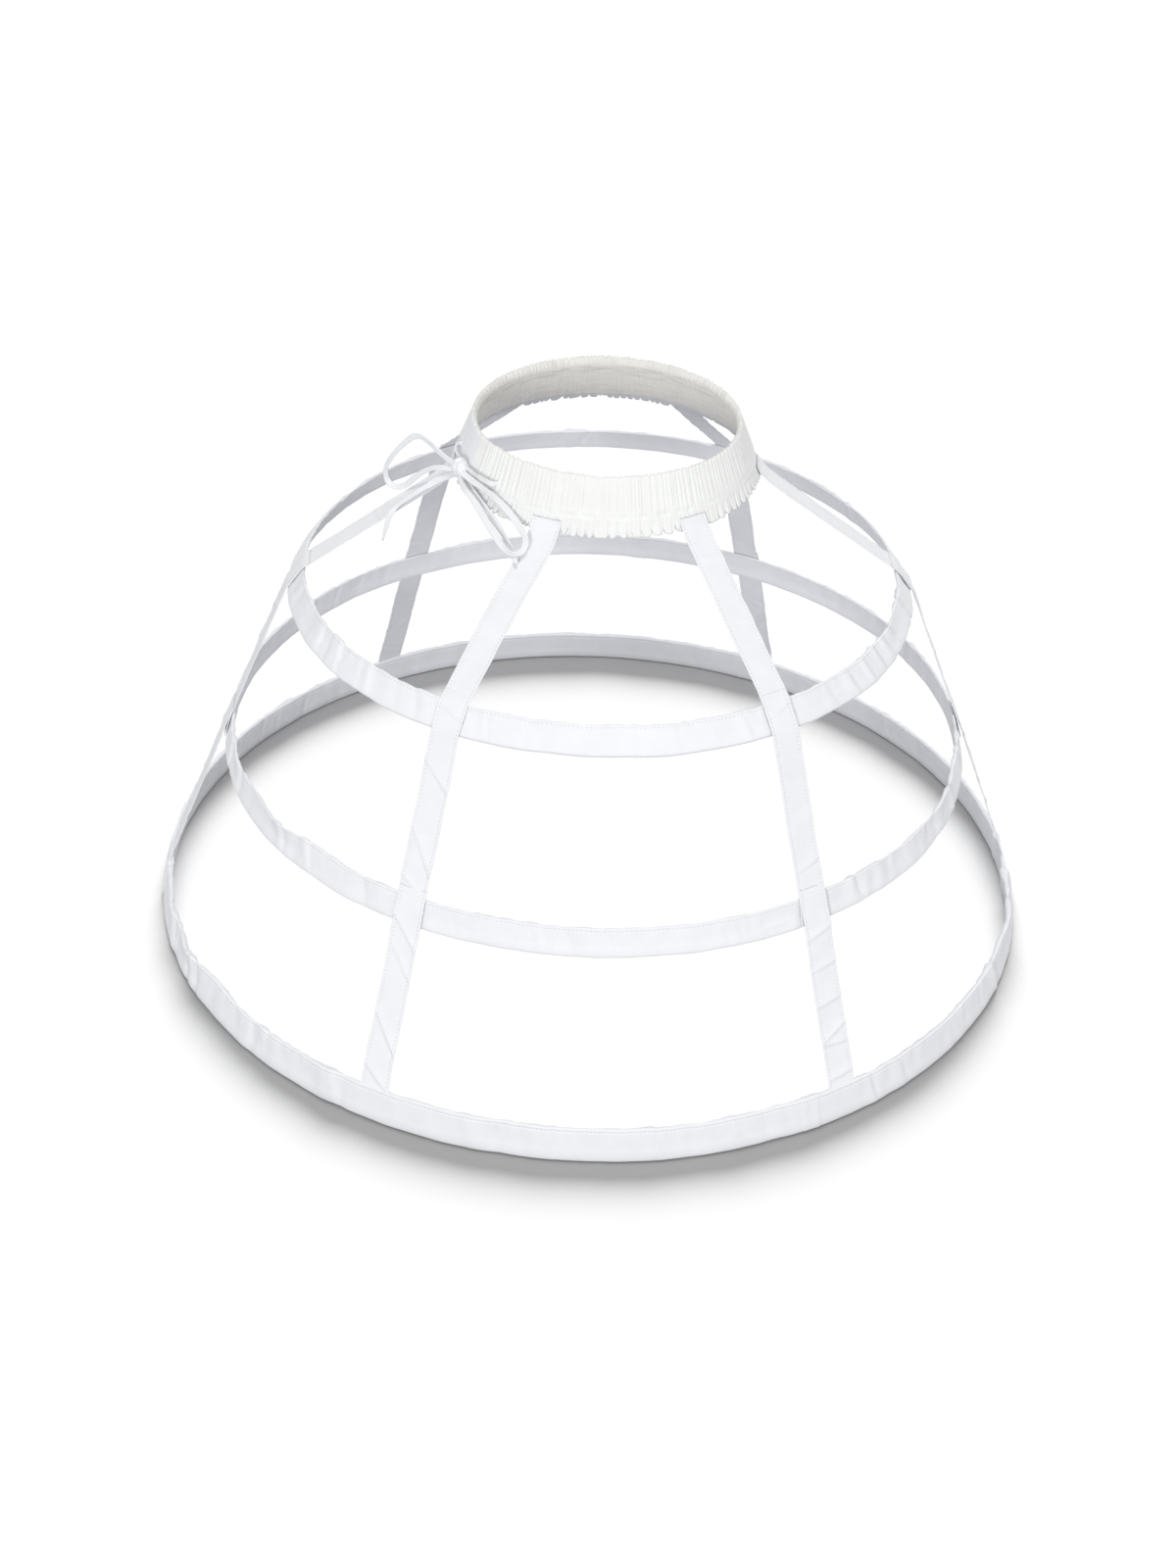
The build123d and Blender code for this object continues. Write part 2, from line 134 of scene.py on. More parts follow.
TAIL_LEFT_MM = [
    (-5.4, 2.9, -4.6), (-18.5, 10.5, -13.5), (-28.5, 14.0, -21.5), (-39.0, 15.5, -29.5), (-49.0, 15.5, -37.0),
    (-56.0, 9.5, -42.5), (-58.5, 0.5, -48.0), (-61.0, -8.5, -54.5),
]
TAIL_RIGHT_MM = [
    (-1.6, -4.7, -3.1), (2.6, -17.6, -5.6), (8.3, -29.5, -8.9), (13.8, -39.7, -12.6), (21.5, -53.5, -16.9),
    (27.5, -67.0, -20.9), (31.6, -79.1, -24.5), (34.5, -88.8, -28.9),
]
LEAD_LEFT_MM = [(-8.0, 16.5, 4.0), (-3.5, 3.5, 2.0)]
LEAD_RIGHT_MM = [(11.3, -27.3, 5.3), (4.5, -16.7, 4.5), (-0.6, -4.1, 3.3)]
EYELET_HEIGHT = 395.0 * MM
EYELET_LEFT = 184.0
EYELET_RIGHT = 221.0
DRAWCORD_DEPTH = 2.9 * MM
LEAD_REACH = 6.4 * MM
LEAD_WIDTH = 3.6 * MM


def bow_points(offsets_mm):
    return [BOW + Vector(offset) * MM for offset in offsets_mm]


def lead_points(azimuth, offsets_mm):
    inner = crest_radius(EYELET_HEIGHT) - DRAWCORD_DEPTH
    out = [place_at(azimuth, r, EYELET_HEIGHT) for r in (inner, inner + LEAD_REACH)]
    return out + bow_points(offsets_mm)


def spline_of(points, name, resolution=10):
    """A smooth line with the route's points as its control points, read back as a list of points."""
    curve = bpy.data.curves.new(name, "CURVE")
    curve.dimensions = "3D"
    curve.resolution_u = resolution
    spline = curve.splines.new("NURBS")
    spline.points.add(len(points) - 1)
    for control, point in zip(spline.points, points):
        control.co = (*point, 1.0)
    spline.order_u = 3
    spline.use_endpoint_u = True
    holder = bpy.data.objects.new(name + "_line", curve)
    line = bpy.data.meshes.new_from_object(holder)
    found = [v.co.copy() for v in line.vertices]
    bpy.data.meshes.remove(line)
    bpy.data.objects.remove(holder)
    return found


def grid_mesh(name, points, closed_u, closed_v, uv=None, caps=False):
    """A quad mesh over an array of points of shape (rows, columns, 3)."""
    rows, columns = points.shape[:2]
    index = np.arange(rows * columns).reshape(rows, columns)
    down = np.arange(rows if closed_u else rows - 1)
    over = np.arange(columns if closed_v else columns - 1)
    i, j = np.meshgrid(down, over, indexing="ij")
    i2, j2 = (i + 1) % rows, (j + 1) % columns
    quads = np.stack([index[i, j], index[i2, j], index[i2, j2], index[i, j2]], -1).reshape(-1, 4)
    faces = quads.tolist()
    if caps:
        faces.append(index[0, ::-1].tolist())
        faces.append(index[-1].tolist())
    mesh = bpy.data.meshes.new(name)
    mesh.from_pydata(points.reshape(-1, 3).tolist(), [], faces)
    mesh.polygons.foreach_set("use_smooth", np.ones(len(mesh.polygons), bool))
    if uv is not None:
        layer = mesh.uv_layers.new(name="length")
        corner = np.zeros(len(mesh.loops), np.int32)
        mesh.loops.foreach_get("vertex_index", corner)
        layer.data.foreach_set("uv", uv.reshape(-1, 2)[corner].astype(np.float32).ravel())
    mesh.update()
    return mesh


def smooth_noise(x, count, seed):
    """Smooth periodic noise from -1 to 1 over x from 0 to 1, with that many humps."""
    values = np.random.RandomState(seed).uniform(-1, 1, count)
    spot = np.mod(x, 1.0) * count
    low = np.floor(spot).astype(int)
    share = spot - low
    share = share * share * (3 - 2 * share)
    return values[low % count] * (1 - share) + values[(low + 1) % count] * share


# Ribbon: a flat tape whose faces turn slowly, with a soft fold down each side
RIBBON_SECTION = [
    (-1.0, 0.0), (-0.92, 0.8), (-0.6, 1.0), (-0.2, 0.72), (0.2, 0.72), (0.6, 1.0), (0.92, 0.8), (1.0, 0.0),
    (0.92, -0.8), (0.5, -0.9), (-0.5, -0.9), (-0.92, -0.8),
]


def ribbon_grid(line, width, thickness, facing, sway, seed, taper=0.0):
    """Cross sections of a flat ribbon along a line; facing(point) is the way its face looks."""
    points = [p for k, p in enumerate(line) if k == 0 or (p - line[k - 1]).length > 1e-6]
    rows = []
    count = len(points)
    for k, point in enumerate(points):
        tangent = (points[min(k + 1, count - 1)] - points[max(k - 1, 0)]).normalized()
        face = facing(point)
        face = (face - tangent * face.dot(tangent)).normalized()
        share = k / (count - 1)
        turn = sway * float(smooth_noise(np.array(share * 0.98), 7, seed))
        face = Matrix.Rotation(turn, 3, tangent) @ face
        side = tangent.cross(face)
        half = width / 2 * (1 + 0.1 * float(smooth_noise(np.array(share * 0.98), 11, seed + 1)))
        if taper:
            half *= 1 - max(0.0, (share - (1 - taper)) / taper) * 0.75
        rows.append([point + side * (x * half) + face * (y * thickness / 2) for x, y in RIBBON_SECTION])
    return np.array(rows, float)


def along_uv(points):
    """Length along the rows and round the columns, in metres."""
    step = np.linalg.norm(np.diff(points.mean(1), axis=0), axis=1)
    length = np.concatenate([[0], np.cumsum(step)])
    over = np.arange(points.shape[1]) / points.shape[1]
    u, v = np.meshgrid(length, over * 0.01, indexing="ij")
    return np.stack([u, v], -1)


def outward(point):
    return Vector((point.x, point.y, 0)).normalized()


def facing_camera(point):
    towards = (camera.matrix_world.translation - point).normalized()
    return (towards * FACE_TURN[0] + outward(point) * FACE_TURN[1]).normalized()


def make_tie(name, node, offsets_mm, sway, seed, taper=0.0):
    """One ribbon of the bow, from the knot."""
    line = spline_of(bow_points(offsets_mm), name)
    grid = ribbon_grid(line, RIBBON_WIDTH * RIBBON_SPREAD, RIBBON_THICKNESS, facing_camera, sway, seed, taper)
    ribbon = link(name, grid_mesh(name, grid, False, True, along_uv(grid), caps=True))
    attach(ribbon, "root")
    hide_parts(node)
    return ribbon


ties = [
    make_tie("ribbon_loop_left", "tie_loop_left", LOOP_LEFT_MM, 0.5, 11),
    make_tie("ribbon_loop_right", "tie_loop_right", LOOP_RIGHT_MM, 0.5, 12),
    make_tie("ribbon_tail_left", "tie_tail_left", TAIL_LEFT_MM, 0.6, 13, taper=0.12),
    make_tie("ribbon_tail_right", "tie_tail_right", TAIL_RIGHT_MM, 0.4, 14, taper=0.05),
]


def join(name, parts):
    """Several meshes as one object."""
    objects = [link(name, mesh) for mesh in parts]
    with bpy.context.temp_override(active_object=objects[0], selected_editable_objects=objects):
        bpy.ops.object.join()
    objects[0].name = name
    return objects[0]


def make_drawcord():
    """The ribbon inside the waistband and its two ends on the way to the knot."""
    radius = crest_radius(EYELET_HEIGHT) - DRAWCORD_DEPTH
    around = np.linspace(EYELET_RIGHT - 360, EYELET_LEFT, 160)
    ring = [place_at(a, radius, EYELET_HEIGHT) for a in around]
    parts = [grid_mesh("ring", ribbon_grid(ring, LEAD_WIDTH, RIBBON_THICKNESS, outward, 0, 1), False, True, caps=True)]
    for azimuth, offsets, seed in ((EYELET_LEFT, LEAD_LEFT_MM, 3), (EYELET_RIGHT, LEAD_RIGHT_MM, 4)):
        line = spline_of(lead_points(azimuth, offsets), "lead")
        grid = ribbon_grid(line, LEAD_WIDTH, RIBBON_THICKNESS, outward, 0.3, seed)
        parts.append(grid_mesh("lead", grid, False, True, along_uv(grid), caps=True))
    drawcord = join("drawcord_ribbon", parts)
    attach(drawcord, "root")
    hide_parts("waist_drawcord")
    return drawcord


drawcord = make_drawcord()


def make_knot():
    """A soft knot: a rounded lump wrapped by turns of ribbon."""
    length, depth, height = KNOT_SIZE
    outward = place_at(KNOT_AZIMUTH, math.cos(BAND_LEAN), math.sin(BAND_LEAN)).normalized()
    across = Vector((0, 0, 1)).cross(radial(KNOT_AZIMUTH)).normalized()
    up = outward.cross(across)
    centre = BOW + outward * (KNOT_LIFT + depth / 2)
    steps_u, steps_v = 48, 64
    u = (np.arange(steps_u) + 0.5) / steps_u * math.pi
    v = np.arange(steps_v) / steps_v * 2 * math.pi
    uu, vv = np.meshgrid(u, v, indexing="ij")
    x = -np.cos(uu)
    ring = np.sin(uu) ** 0.75
    y, z = ring * np.cos(vv), ring * np.sin(vv)
    wrap = KNOT_RELIEF * np.cos(KNOT_TURNS * (x + 0.35 * z)) * ring
    tuck = KNOT_TUCK * np.exp(-(((x - 0.15 + 0.3 * y) / 0.12) ** 2)) * ring
    swell = 1 + wrap + tuck
    points = np.zeros((steps_u, steps_v, 3))
    for axis, size, value in ((across, length, x * 0.96), (outward, depth, y * swell), (up, height, z * swell)):
        points += (value * size / 2)[..., None] * np.array(axis)
    points += np.array(centre)
    knot = link("ribbon_knot", grid_mesh("ribbon_knot", points, False, True, along_uv(points), caps=True))
    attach(knot, "root")
    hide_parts("bow_knot")
    return knot


knot = make_knot()

# Hoops: a casing's belly, sole, edges and lapped seam. The seam's rounding is in degrees
BELLY_HALF = 3.0 * MM
BELLY_RISE = 1.6 * MM
SOLE_WEAR = 0.45 * MM
SOLE_SHARE = 0.05
EDGE_HALF = 1.2 * MM
SEAM_LAP = 14.0 * MM
SEAM_LIFT_MM = 0.7
SEAM_ROUNDING = 0.12


class Hoop:
    """Where a hoop's casing stands."""

    def __init__(self, name, radius_mm, height_mm, lean, width_mm, edge_mm, seam_azimuth, seed):
        self.name = name
        self.lean = math.radians(lean)
        self.radius = radius_mm * MM - BELLY_HALF / math.cos(self.lean)
        self.height = height_mm * MM
        self.width = width_mm * MM
        self.edge = edge_mm * MM
        self.seam_azimuth = seam_azimuth
        self.seed = seed

    def point(self, outward, up):
        """Radius and height of a point given by its place across and up the casing."""
        radius = self.radius + outward * math.cos(self.lean) - up * math.sin(self.lean)
        height = self.height + outward * math.sin(self.lean) + up * math.cos(self.lean)
        return radius, height

    def face_tilt(self):
        return self.lean + math.atan2(BELLY_HALF - self.edge, self.width - BELLY_RISE)


BOTTOM = Hoop("bottom", 345.0, -0.45, 10.8, 27.0, 1.8, 294.0, 21)
MIDDLE = Hoop("middle", 289.0, 139.0, 11.6, 22.5, 1.2, 78.0, 22)
TOP = Hoop("top", 237.5, 271.5, 30.5, 22.5, 1.2, 348.0, 23)

# Room inside a casing: half thicknesses, and the bone's span above the sole
BONE_ROOM = 1.5 * MM
JOINER_ROOM = 2.1 * MM
CLOTH_ROOM = 0.25 * MM
FULLEST = 4.2 * MM
BONE_SPAN = (1.0 * MM, 10.0 * MM)
# Casing's half thickness in millimetres against the share of its width, from the sole up
CASING_PROFILE = [(0.0, 0.5), (0.012, 1.5), (0.035, 2.3), (0.075, 2.75), (0.16, 2.8), (0.28, 2.5), (0.42, 1.9)]
CASING_PROFILE += [(0.6, 1.55), (0.78, 1.35), (0.86, 1.3), (0.9, 1.0), (0.93, 1.25), (0.975, 1.15), (1.0, 0.4)]
CASING_AROUND = 1320
# Humps of noise round the bottom casing: slow and quick wander of its place and of its edges
SWAY_HUMPS = (46, 150)
DRIFT_HUMPS = (30, 110)
# and its bulges, broad and fine, its creases, and the small puckers beside the stitches
BROAD_HUMPS = 125
FINE_HUMPS = 260
CREASE_HUMPS = 230
PUCKER_HUMPS = 460
# Half the stretch of casing that a tape holds flat
SEWN_REACH = 17 * MM

# Tapes: azimuth at the hoops, azimuth at the waistband, and seed
TAPES = {
    "tape_front_left": (240.0, 245.4, 31),
    "tape_front_right": (300.0, 300.2, 32),
    "tape_right": (0.0, -5.0, 33),
    "tape_back_right": (60.0, 57.7, 34),
    "tape_back_left": (120.0, 123.0, 35),
    "tape_left": (180.0, 186.3, 36),
}

# Where a casing is creased hard: azimuth, how wide in degrees, and how deep in millimetres
PINCHES = {
    "top": [(-23, 1.3, 1.3), (-27, 1.0, 1.0), (-31.5, 1.2, 1.2), (-36, 0.9, 1.0), (-41, 1.2, 0.9), (-14, 1.3, 1.2)]
    + [(-155, 1.5, 0.5), (-147, 0.8, 0.5), (-138, 1.3, 0.6), (-113, 0.9, 0.6), (-66, 1.0, 0.5), (28, 1.5, 0.8)],
    "middle": [(-21.5, 0.9, 1.5), (-10, 1.2, 1.0), (-146, 1.2, 0.8), (-139, 0.9, 0.6), (-163, 1.6, 1.0)]
    + [(-100, 0.8, 0.6), (-72, 0.9, 0.5), (-51, 1.0, 0.8), (-170, 1.2, 1.0), (117, 1.4, 0.8), (22, 1.3, 0.9)],
    "bottom": [(-26, 0.8, 1.6), (-4, 1.3, 1.6), (-11, 1.0, 1.2), (4, 1.1, 1.4), (-182, 1.4, 1.5), (-176, 1.0, 1.2)]
    + [(-164, 1.6, 0.8), (-155, 1.0, 0.9), (-144, 1.3, 0.7), (-59, 0.8, 1.0), (-55, 0.6, 0.9)]
    + [(-50, 0.9, 0.9), (-97, 0.8, 0.5), (-84, 0.6, 0.5), (-125, 0.9, 0.7)],
}
# Where a casing's upper edge strays: azimuth, how wide in degrees, and how far it rises in millimetres
STRAYS = {
    "top": [(-24, 3.5, -1.0), (-16, 2.5, 1.2), (-155, 4.0, 0.9), (150, 5.0, -1.5), (28, 5.0, -1.2)],
    "middle": [(-139, 4.0, 2.0), (-149, 3.5, -2.4), (-160, 4.0, -1.0), (-21.5, 2.0, -1.0)]
    + [(150, 6.0, -1.5), (118, 5.0, -1.4)],
    "bottom": [(-26, 2.0, -1.2), (-150, 2.6, 1.4), (-158, 3.0, -2.2), (-168, 3.0, -1.0), (-4, 3.0, -1.4)]
    + [(5, 2.5, 1.2), (-178, 4.0, 1.2)],
}
# Where a casing's upper edge leans out or in: azimuth, how wide in degrees, and how far out in millimetres
TWISTS = {
    "top": [(-24, 3.0, 1.4), (-155, 4.0, 1.3), (-33, 2.5, -0.9)],
    "middle": [(-147, 4.0, 3.0), (-135, 3.5, -1.4), (-165, 3.0, 1.8), (-29, 4.0, 1.8), (-16, 2.5, -1.2)],
    "bottom": [(-157, 3.2, 3.2), (-149, 2.6, -1.4), (-167, 2.4, 2.2), (-16, 3.6, 2.4), (-6, 2.0, -1.3)]
    + [(-127, 3.0, 1.0)],
}


def casing_rows(hoop):
    """Outer then inner side of the casing as (half thickness sign, share of width, half thickness)."""
    shares = np.concatenate([np.linspace(0, 0.08, 5)[:-1], np.linspace(0.08, 0.84, 15)[:-1], np.linspace(0.84, 1, 9)])
    half = np.interp(shares, *zip(*CASING_PROFILE)) * MM
    half *= 1 + (hoop.edge / EDGE_HALF - 1) * shares
    outer = [(1.0, s, h) for s, h in zip(shares, half)]
    inner = [(-1.0, s, h) for s, h in zip(shares[::-1], half[::-1])]
    return outer + inner


def nearness(turn, azimuth, wide):
    """How far round the hoop each place is from an azimuth, as a share of the width."""
    return ((turn * 360 - azimuth + 180) % 360 - 180) / wide


def rounded_steps(turn, places):
    """The sum of soft bumps round the hoop, each with its azimuth, width in degrees and size."""
    return sum(size * np.exp(-(nearness(turn, azimuth, wide) ** 2)) for azimuth, wide, size in places)


def two_waves(turn, size, humps, weights, seeds):
    """Slow and quick noise round a hoop whose size is a share of the bottom one's."""
    slow, quick = (
        weight * smooth_noise(turn, int(count * size), seed) for weight, count, seed in zip(weights, humps, seeds)
    )
    return slow + quick


class Slack:
    """How a casing's cloth lies, round its hoop."""

    def __init__(self, hoop, turn):
        self.turn = turn
        self.size = hoop.radius / BOTTOM.radius
        self.sway = two_waves(turn, self.size, SWAY_HUMPS, (0.5, 0.35), (hoop.seed, hoop.seed + 1))
        self.drift = two_waves(turn, self.size, DRIFT_HUMPS, (0.6, 0.3), (hoop.seed + 2, hoop.seed + 6))
        self.rough = 0.55 + 0.75 * smooth_noise(turn, 23, hoop.seed + 7) ** 2
        sewn_wide = SEWN_REACH / hoop.radius * 180 / math.pi
        sewn = sum(np.exp(-(nearness(turn, row[0], sewn_wide) ** 6)) for row in TAPES.values())
        self.loose = 1 - np.clip(sewn, 0, 1)
        self.stray = rounded_steps(turn, STRAYS[hoop.name])
        self.twist = rounded_steps(turn, TWISTS[hoop.name]) * self.loose
        seam = nearness(turn, hoop.seam_azimuth, 1.0)
        self.seam_wide = math.degrees(SEAM_LAP / hoop.radius)
        self.lap = SEAM_LIFT_MM * np.clip(np.minimum(seam, self.seam_wide - seam) / SEAM_ROUNDING, 0, 1)


def casing_relief(hoop, slack, share, middle, upper):
    """Bulges, creases and puckers of one row of the casing, in millimetres."""
    turn, size, rough, loose = slack.turn, slack.size, slack.rough, slack.loose
    slant = 0.0028 * share + 0.0012 * smooth_noise(turn, 31, hoop.seed + 9) * share
    leaning = turn + slant / size
    counter = turn - 0.0011 * share / size
    broad = smooth_noise(leaning, int(BROAD_HUMPS * size), hoop.seed + 5)
    fine = smooth_noise(counter, int(FINE_HUMPS * size), hoop.seed + 3)
    pucker = smooth_noise(turn, int(PUCKER_HUMPS * size), hoop.seed + 8)
    creases = -np.clip(smooth_noise(leaning, int(CREASE_HUMPS * size), hoop.seed + 4), 0, 1) ** 2
    grow = 0.25 + 0.55 * middle + 0.45 * share
    relief = rough * grow * (0.8 * broad + 0.6 * fine + 1.3 * creases)
    relief = relief + rough * 0.5 * pucker * upper
    for azimuth, wide, deep in PINCHES[hoop.name]:
        gap = nearness(leaning, azimuth, wide)
        crest = np.where(gap < 0, np.exp(-((gap / 1.1) ** 2)), np.exp(-((gap / 0.5) ** 2)))
        valley = np.exp(-(((gap - 0.95) / 0.5) ** 2))
        relief = relief + deep * (1.15 * crest - 0.6 * valley) * grow
    return np.minimum(relief, 0.1 + 5 * loose) * (0.15 + 0.85 * loose), pucker


def roomy(hoop, turn, share, bulge, seam_wide):
    """A row's half thickness, kept clear of the bone and of its joiner."""
    beside_bone = BONE_SPAN[0] < share * hoop.width < BONE_SPAN[1]
    bulge = np.clip(bulge, BONE_ROOM if beside_bone else CLOTH_ROOM, FULLEST)
    if beside_bone:
        bulge = np.maximum(bulge, JOINER_ROOM * np.exp(-(nearness(turn, hoop.seam_azimuth, 1.2 * seam_wide) ** 6)))
    return bulge


def casing_row(hoop, slack, side, share, half):
    """Radius and height of one row of the casing's mesh."""
    lower = math.exp(-((share / 0.35) ** 2))
    upper = math.exp(-(((1 - share) / 0.3) ** 2))
    middle = math.sin(math.pi * share)
    relief, pucker = casing_relief(hoop, slack, share, middle, upper)
    bulge = half + relief * MM * (0.9 if side > 0 else 0.7) + slack.lap * MM * (1.0 if half > 1 * MM else 0.3)
    bulge = roomy(hoop, slack.turn, share, bulge, slack.seam_wide)
    edges = (slack.drift * 0.5 - slack.sway * (lower * 0.7 + upper * 0.9) + 0.3 * pucker * upper) * MM
    up = share * hoop.width + edges + (slack.stray * (0.25 * lower + upper) + 0.45 * relief * upper) * MM
    if hoop is BOTTOM and share < SOLE_SHARE:
        up = np.maximum(up, SOLE_WEAR)
    free = min(1.0, max(0.0, (share - 0.45) / 0.55)) ** 1.3
    outward = side * bulge + (0.6 * slack.sway + slack.twist * free) * MM
    radius, height = hoop.point(outward, up)
    return radius, np.maximum(height, 0.0) if hoop is BOTTOM else height


def make_casing(hoop):
    """A flat cloth tube round its bone: full below, stitched flat near the upper edge, and puckered."""
    rows = casing_rows(hoop)
    turn = np.arange(CASING_AROUND) / CASING_AROUND
    angle = turn * 2 * math.pi
    slack = Slack(hoop, turn)
    points = np.zeros((len(rows), CASING_AROUND, 3))
    uv = np.zeros((len(rows), CASING_AROUND, 2))
    for k, (side, share, half) in enumerate(rows):
        radius, height = casing_row(hoop, slack, side, share, half)
        points[k] = np.stack([radius * np.cos(angle), radius * np.sin(angle), height], -1)
        uv[k] = np.stack([angle * hoop.radius, np.full(CASING_AROUND, share * hoop.width)], -1)
    name = hoop.name + "_casing"
    casing = link(name, grid_mesh(name, points, True, True, uv))
    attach(casing, "root")
    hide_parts(hoop.name + "_hoop_casing")
    return casing


casings = {hoop.name: make_casing(hoop) for hoop in (BOTTOM, MIDDLE, TOP)}

# Tapes: a strip's sizes, and how far it laps over the next, into the bottom casing and up the ruffle
TAPE_WIDTH = 22.0 * MM
TAPE_THICKNESS = 0.8 * MM
TAPE_CLEARANCE = 0.15 * MM
TAPE_LAP = 7.0 * MM
TAPE_TUCK = 7.0 * MM
TAPE_SEAT = 9.0 * MM
TAPE_BEND = 9.0 * MM
# and its mesh: a step's length, the length of its ends without folds, and the places across
STRIP_STEP = 1.25 * MM
STRIP_END = 6.0 * MM
STRIP_ACROSS = np.array([-1, -0.985, -0.95, -0.9, -0.85, -0.8, -0.72, -0.6, -0.45, -0.3, -0.15, 0])
# Relief across it: place as a share of the half width, how wide, and how high in millimetres
TURNED_EDGE = (0.93, 0.05, 0.16)
STITCH_LINE = (0.82, 0.03, 0.22)
EDGE_ROUNDING = 0.04
# A fold rises slowly over its width and drops over this length. One factor raises them all
FOLD_DROP_MM = 1.1
FOLD_GAIN = 1.35
# Folds across a tape: share of the strip's length, slant, width and height in millimetres
FOLDS = {
    "upper": [(0.85, 0.5, 5.0, 0.5), (0.45, -0.3, 7.0, 0.3)],
    "middle": [(0.3, -0.6, 5.0, 0.7), (0.55, 0.7, 6.0, 0.6), (0.8, -0.5, 4.0, 0.7)],
    "lower": [(0.2, 0.8, 5.0, 0.8), (0.42, -0.5, 6.0, 0.6), (0.64, 0.9, 5.0, 0.9), (0.85, -0.4, 4.0, 0.7)],
}
FRONT_LEFT_FOLDS = {
    "upper": [(0.84, 0.5, 6.0, 0.5), (0.62, 0.3, 9.0, 0.35), (0.3, -0.4, 8.0, 0.3)],
    "middle": [(0.09, 0.4, 3.0, 0.7), (0.36, 0.9, 7.0, 0.9), (0.68, 1.5, 6.0, 1.0), (0.84, 0.7, 5.0, 0.9)],
    "lower": [(0.21, 1.1, 5.0, 1.0), (0.34, 1.2, 4.0, 0.7), (0.69, 1.3, 7.0, 1.2), (0.91, 0.8, 5.0, 1.0)],
}
FRONT_RIGHT_FOLDS = {
    "upper": [(0.2, 0.3, 6.0, 0.5), (0.5, 0.4, 9.0, 0.35), (0.8, -0.3, 8.0, 0.3)],
    "middle": [(0.08, -0.4, 3.0, 0.5), (0.75, -0.3, 7.0, 0.8), (0.88, -0.7, 4.0, 0.5)],
    "lower": [(0.22, -0.3, 3.0, 0.9), (0.38, -0.15, 5.0, 0.9), (0.55, -0.2, 5.0, 1.0), (0.7, -0.5, 3.0, 1.0)]
    + [(0.75, 0.1, 2.0, 1.0), (0.91, -0.1, 4.0, 1.1)],
}


def tilt_of(low, high):
    return math.atan2(low[0] - high[0], high[1] - low[1])


def between(low, high, share):
    return tuple(a + (b - a) * share for a, b in zip(low, high))


def crossing(hoop, azimuth):
    """Where a tape crosses a casing: at its upper edge, at its belly and just above that."""
    edge = (*hoop.point(hoop.edge, hoop.width), azimuth)
    belly = (*hoop.point(BELLY_HALF, BELLY_RISE), azimuth)
    seat = (*hoop.point(BELLY_HALF, BELLY_RISE + TAPE_THICKNESS), azimuth)
    return edge, belly, seat


def apart(one, other):
    return math.hypot(one[0] - other[0], one[1] - other[1])


def tape_strips(hoop_azimuth, band_azimuth):
    """Stations of the three strips of a tape: radius, height, azimuth, lift and tilt."""
    over = TAPE_CLEARANCE + TAPE_THICKNESS
    under = TAPE_CLEARANCE
    seat_height = RUFFLE_HEIGHT + TAPE_SEAT * math.cos(BAND_LEAN)
    band_top = (crest_radius(seat_height), seat_height, band_azimuth)
    band_foot = (RUFFLE_RADIUS, RUFFLE_HEIGHT, band_azimuth)
    top_edge, top_belly, top_seat = crossing(TOP, hoop_azimuth)
    middle_edge, _, middle_seat = crossing(MIDDLE, hoop_azimuth)
    mouth = (*BOTTOM.point(-TAPE_THICKNESS / 2, BOTTOM.width), hoop_azimuth)
    tuck = (*BOTTOM.point(-TAPE_THICKNESS / 2, BOTTOM.width - TAPE_TUCK), hoop_azimuth)
    upper_tilt = tilt_of(top_edge, band_foot)
    middle_tilt = tilt_of(middle_edge, top_belly)
    lower_tilt = tilt_of(mouth, middle_edge)
    rise = apart(band_foot, top_edge)
    top_lap = between(top_edge, band_foot, TAPE_LAP / rise)
    middle_lap = between(middle_edge, top_belly, TAPE_LAP / apart(top_belly, middle_edge))
    band_bend = between(band_foot, band_top, 0.5)
    tape_bend = between(band_foot, top_edge, TAPE_BEND / rise)
    return {
        "upper": [
            (*band_top, under, BAND_LEAN),
            (*band_bend, under, BAND_LEAN),
            (*tape_bend, under, upper_tilt),
            (*top_lap, under, upper_tilt),
            (*top_edge, under, (upper_tilt + TOP.face_tilt()) / 2),
            (*top_seat, under, TOP.face_tilt()),
        ],
        "middle": [
            (*top_lap, over, upper_tilt),
            (*top_edge, over, (upper_tilt + TOP.face_tilt()) / 2),
            (*top_belly, over, (TOP.face_tilt() + middle_tilt) / 2),
            (*middle_lap, under, middle_tilt),
            (*middle_edge, under, (middle_tilt + MIDDLE.face_tilt()) / 2),
            (*middle_seat, under, MIDDLE.face_tilt()),
        ],
        "lower": [
            (*middle_lap, over, middle_tilt),
            (*middle_edge, over, (middle_tilt + lower_tilt) / 2),
            (*mouth, 0, (lower_tilt + BOTTOM.lean) / 2),
            (*tuck, 0, BOTTOM.lean),
        ],
    }


def smooth_line(points):
    """A line with its corners rounded and its two ends kept."""
    kernel = np.array([1, 2, 3, 2, 1]) / 9
    padded = np.pad(points, ((2, 2), (0, 0)), mode="edge")
    soft = np.stack([np.convolve(padded[:, k], kernel, mode="valid") for k in range(3)], -1)
    soft[0], soft[-1] = points[0], points[-1]
    return soft


def unit_rows(vectors):
    return vectors / np.linalg.norm(vectors, axis=1)[:, None]


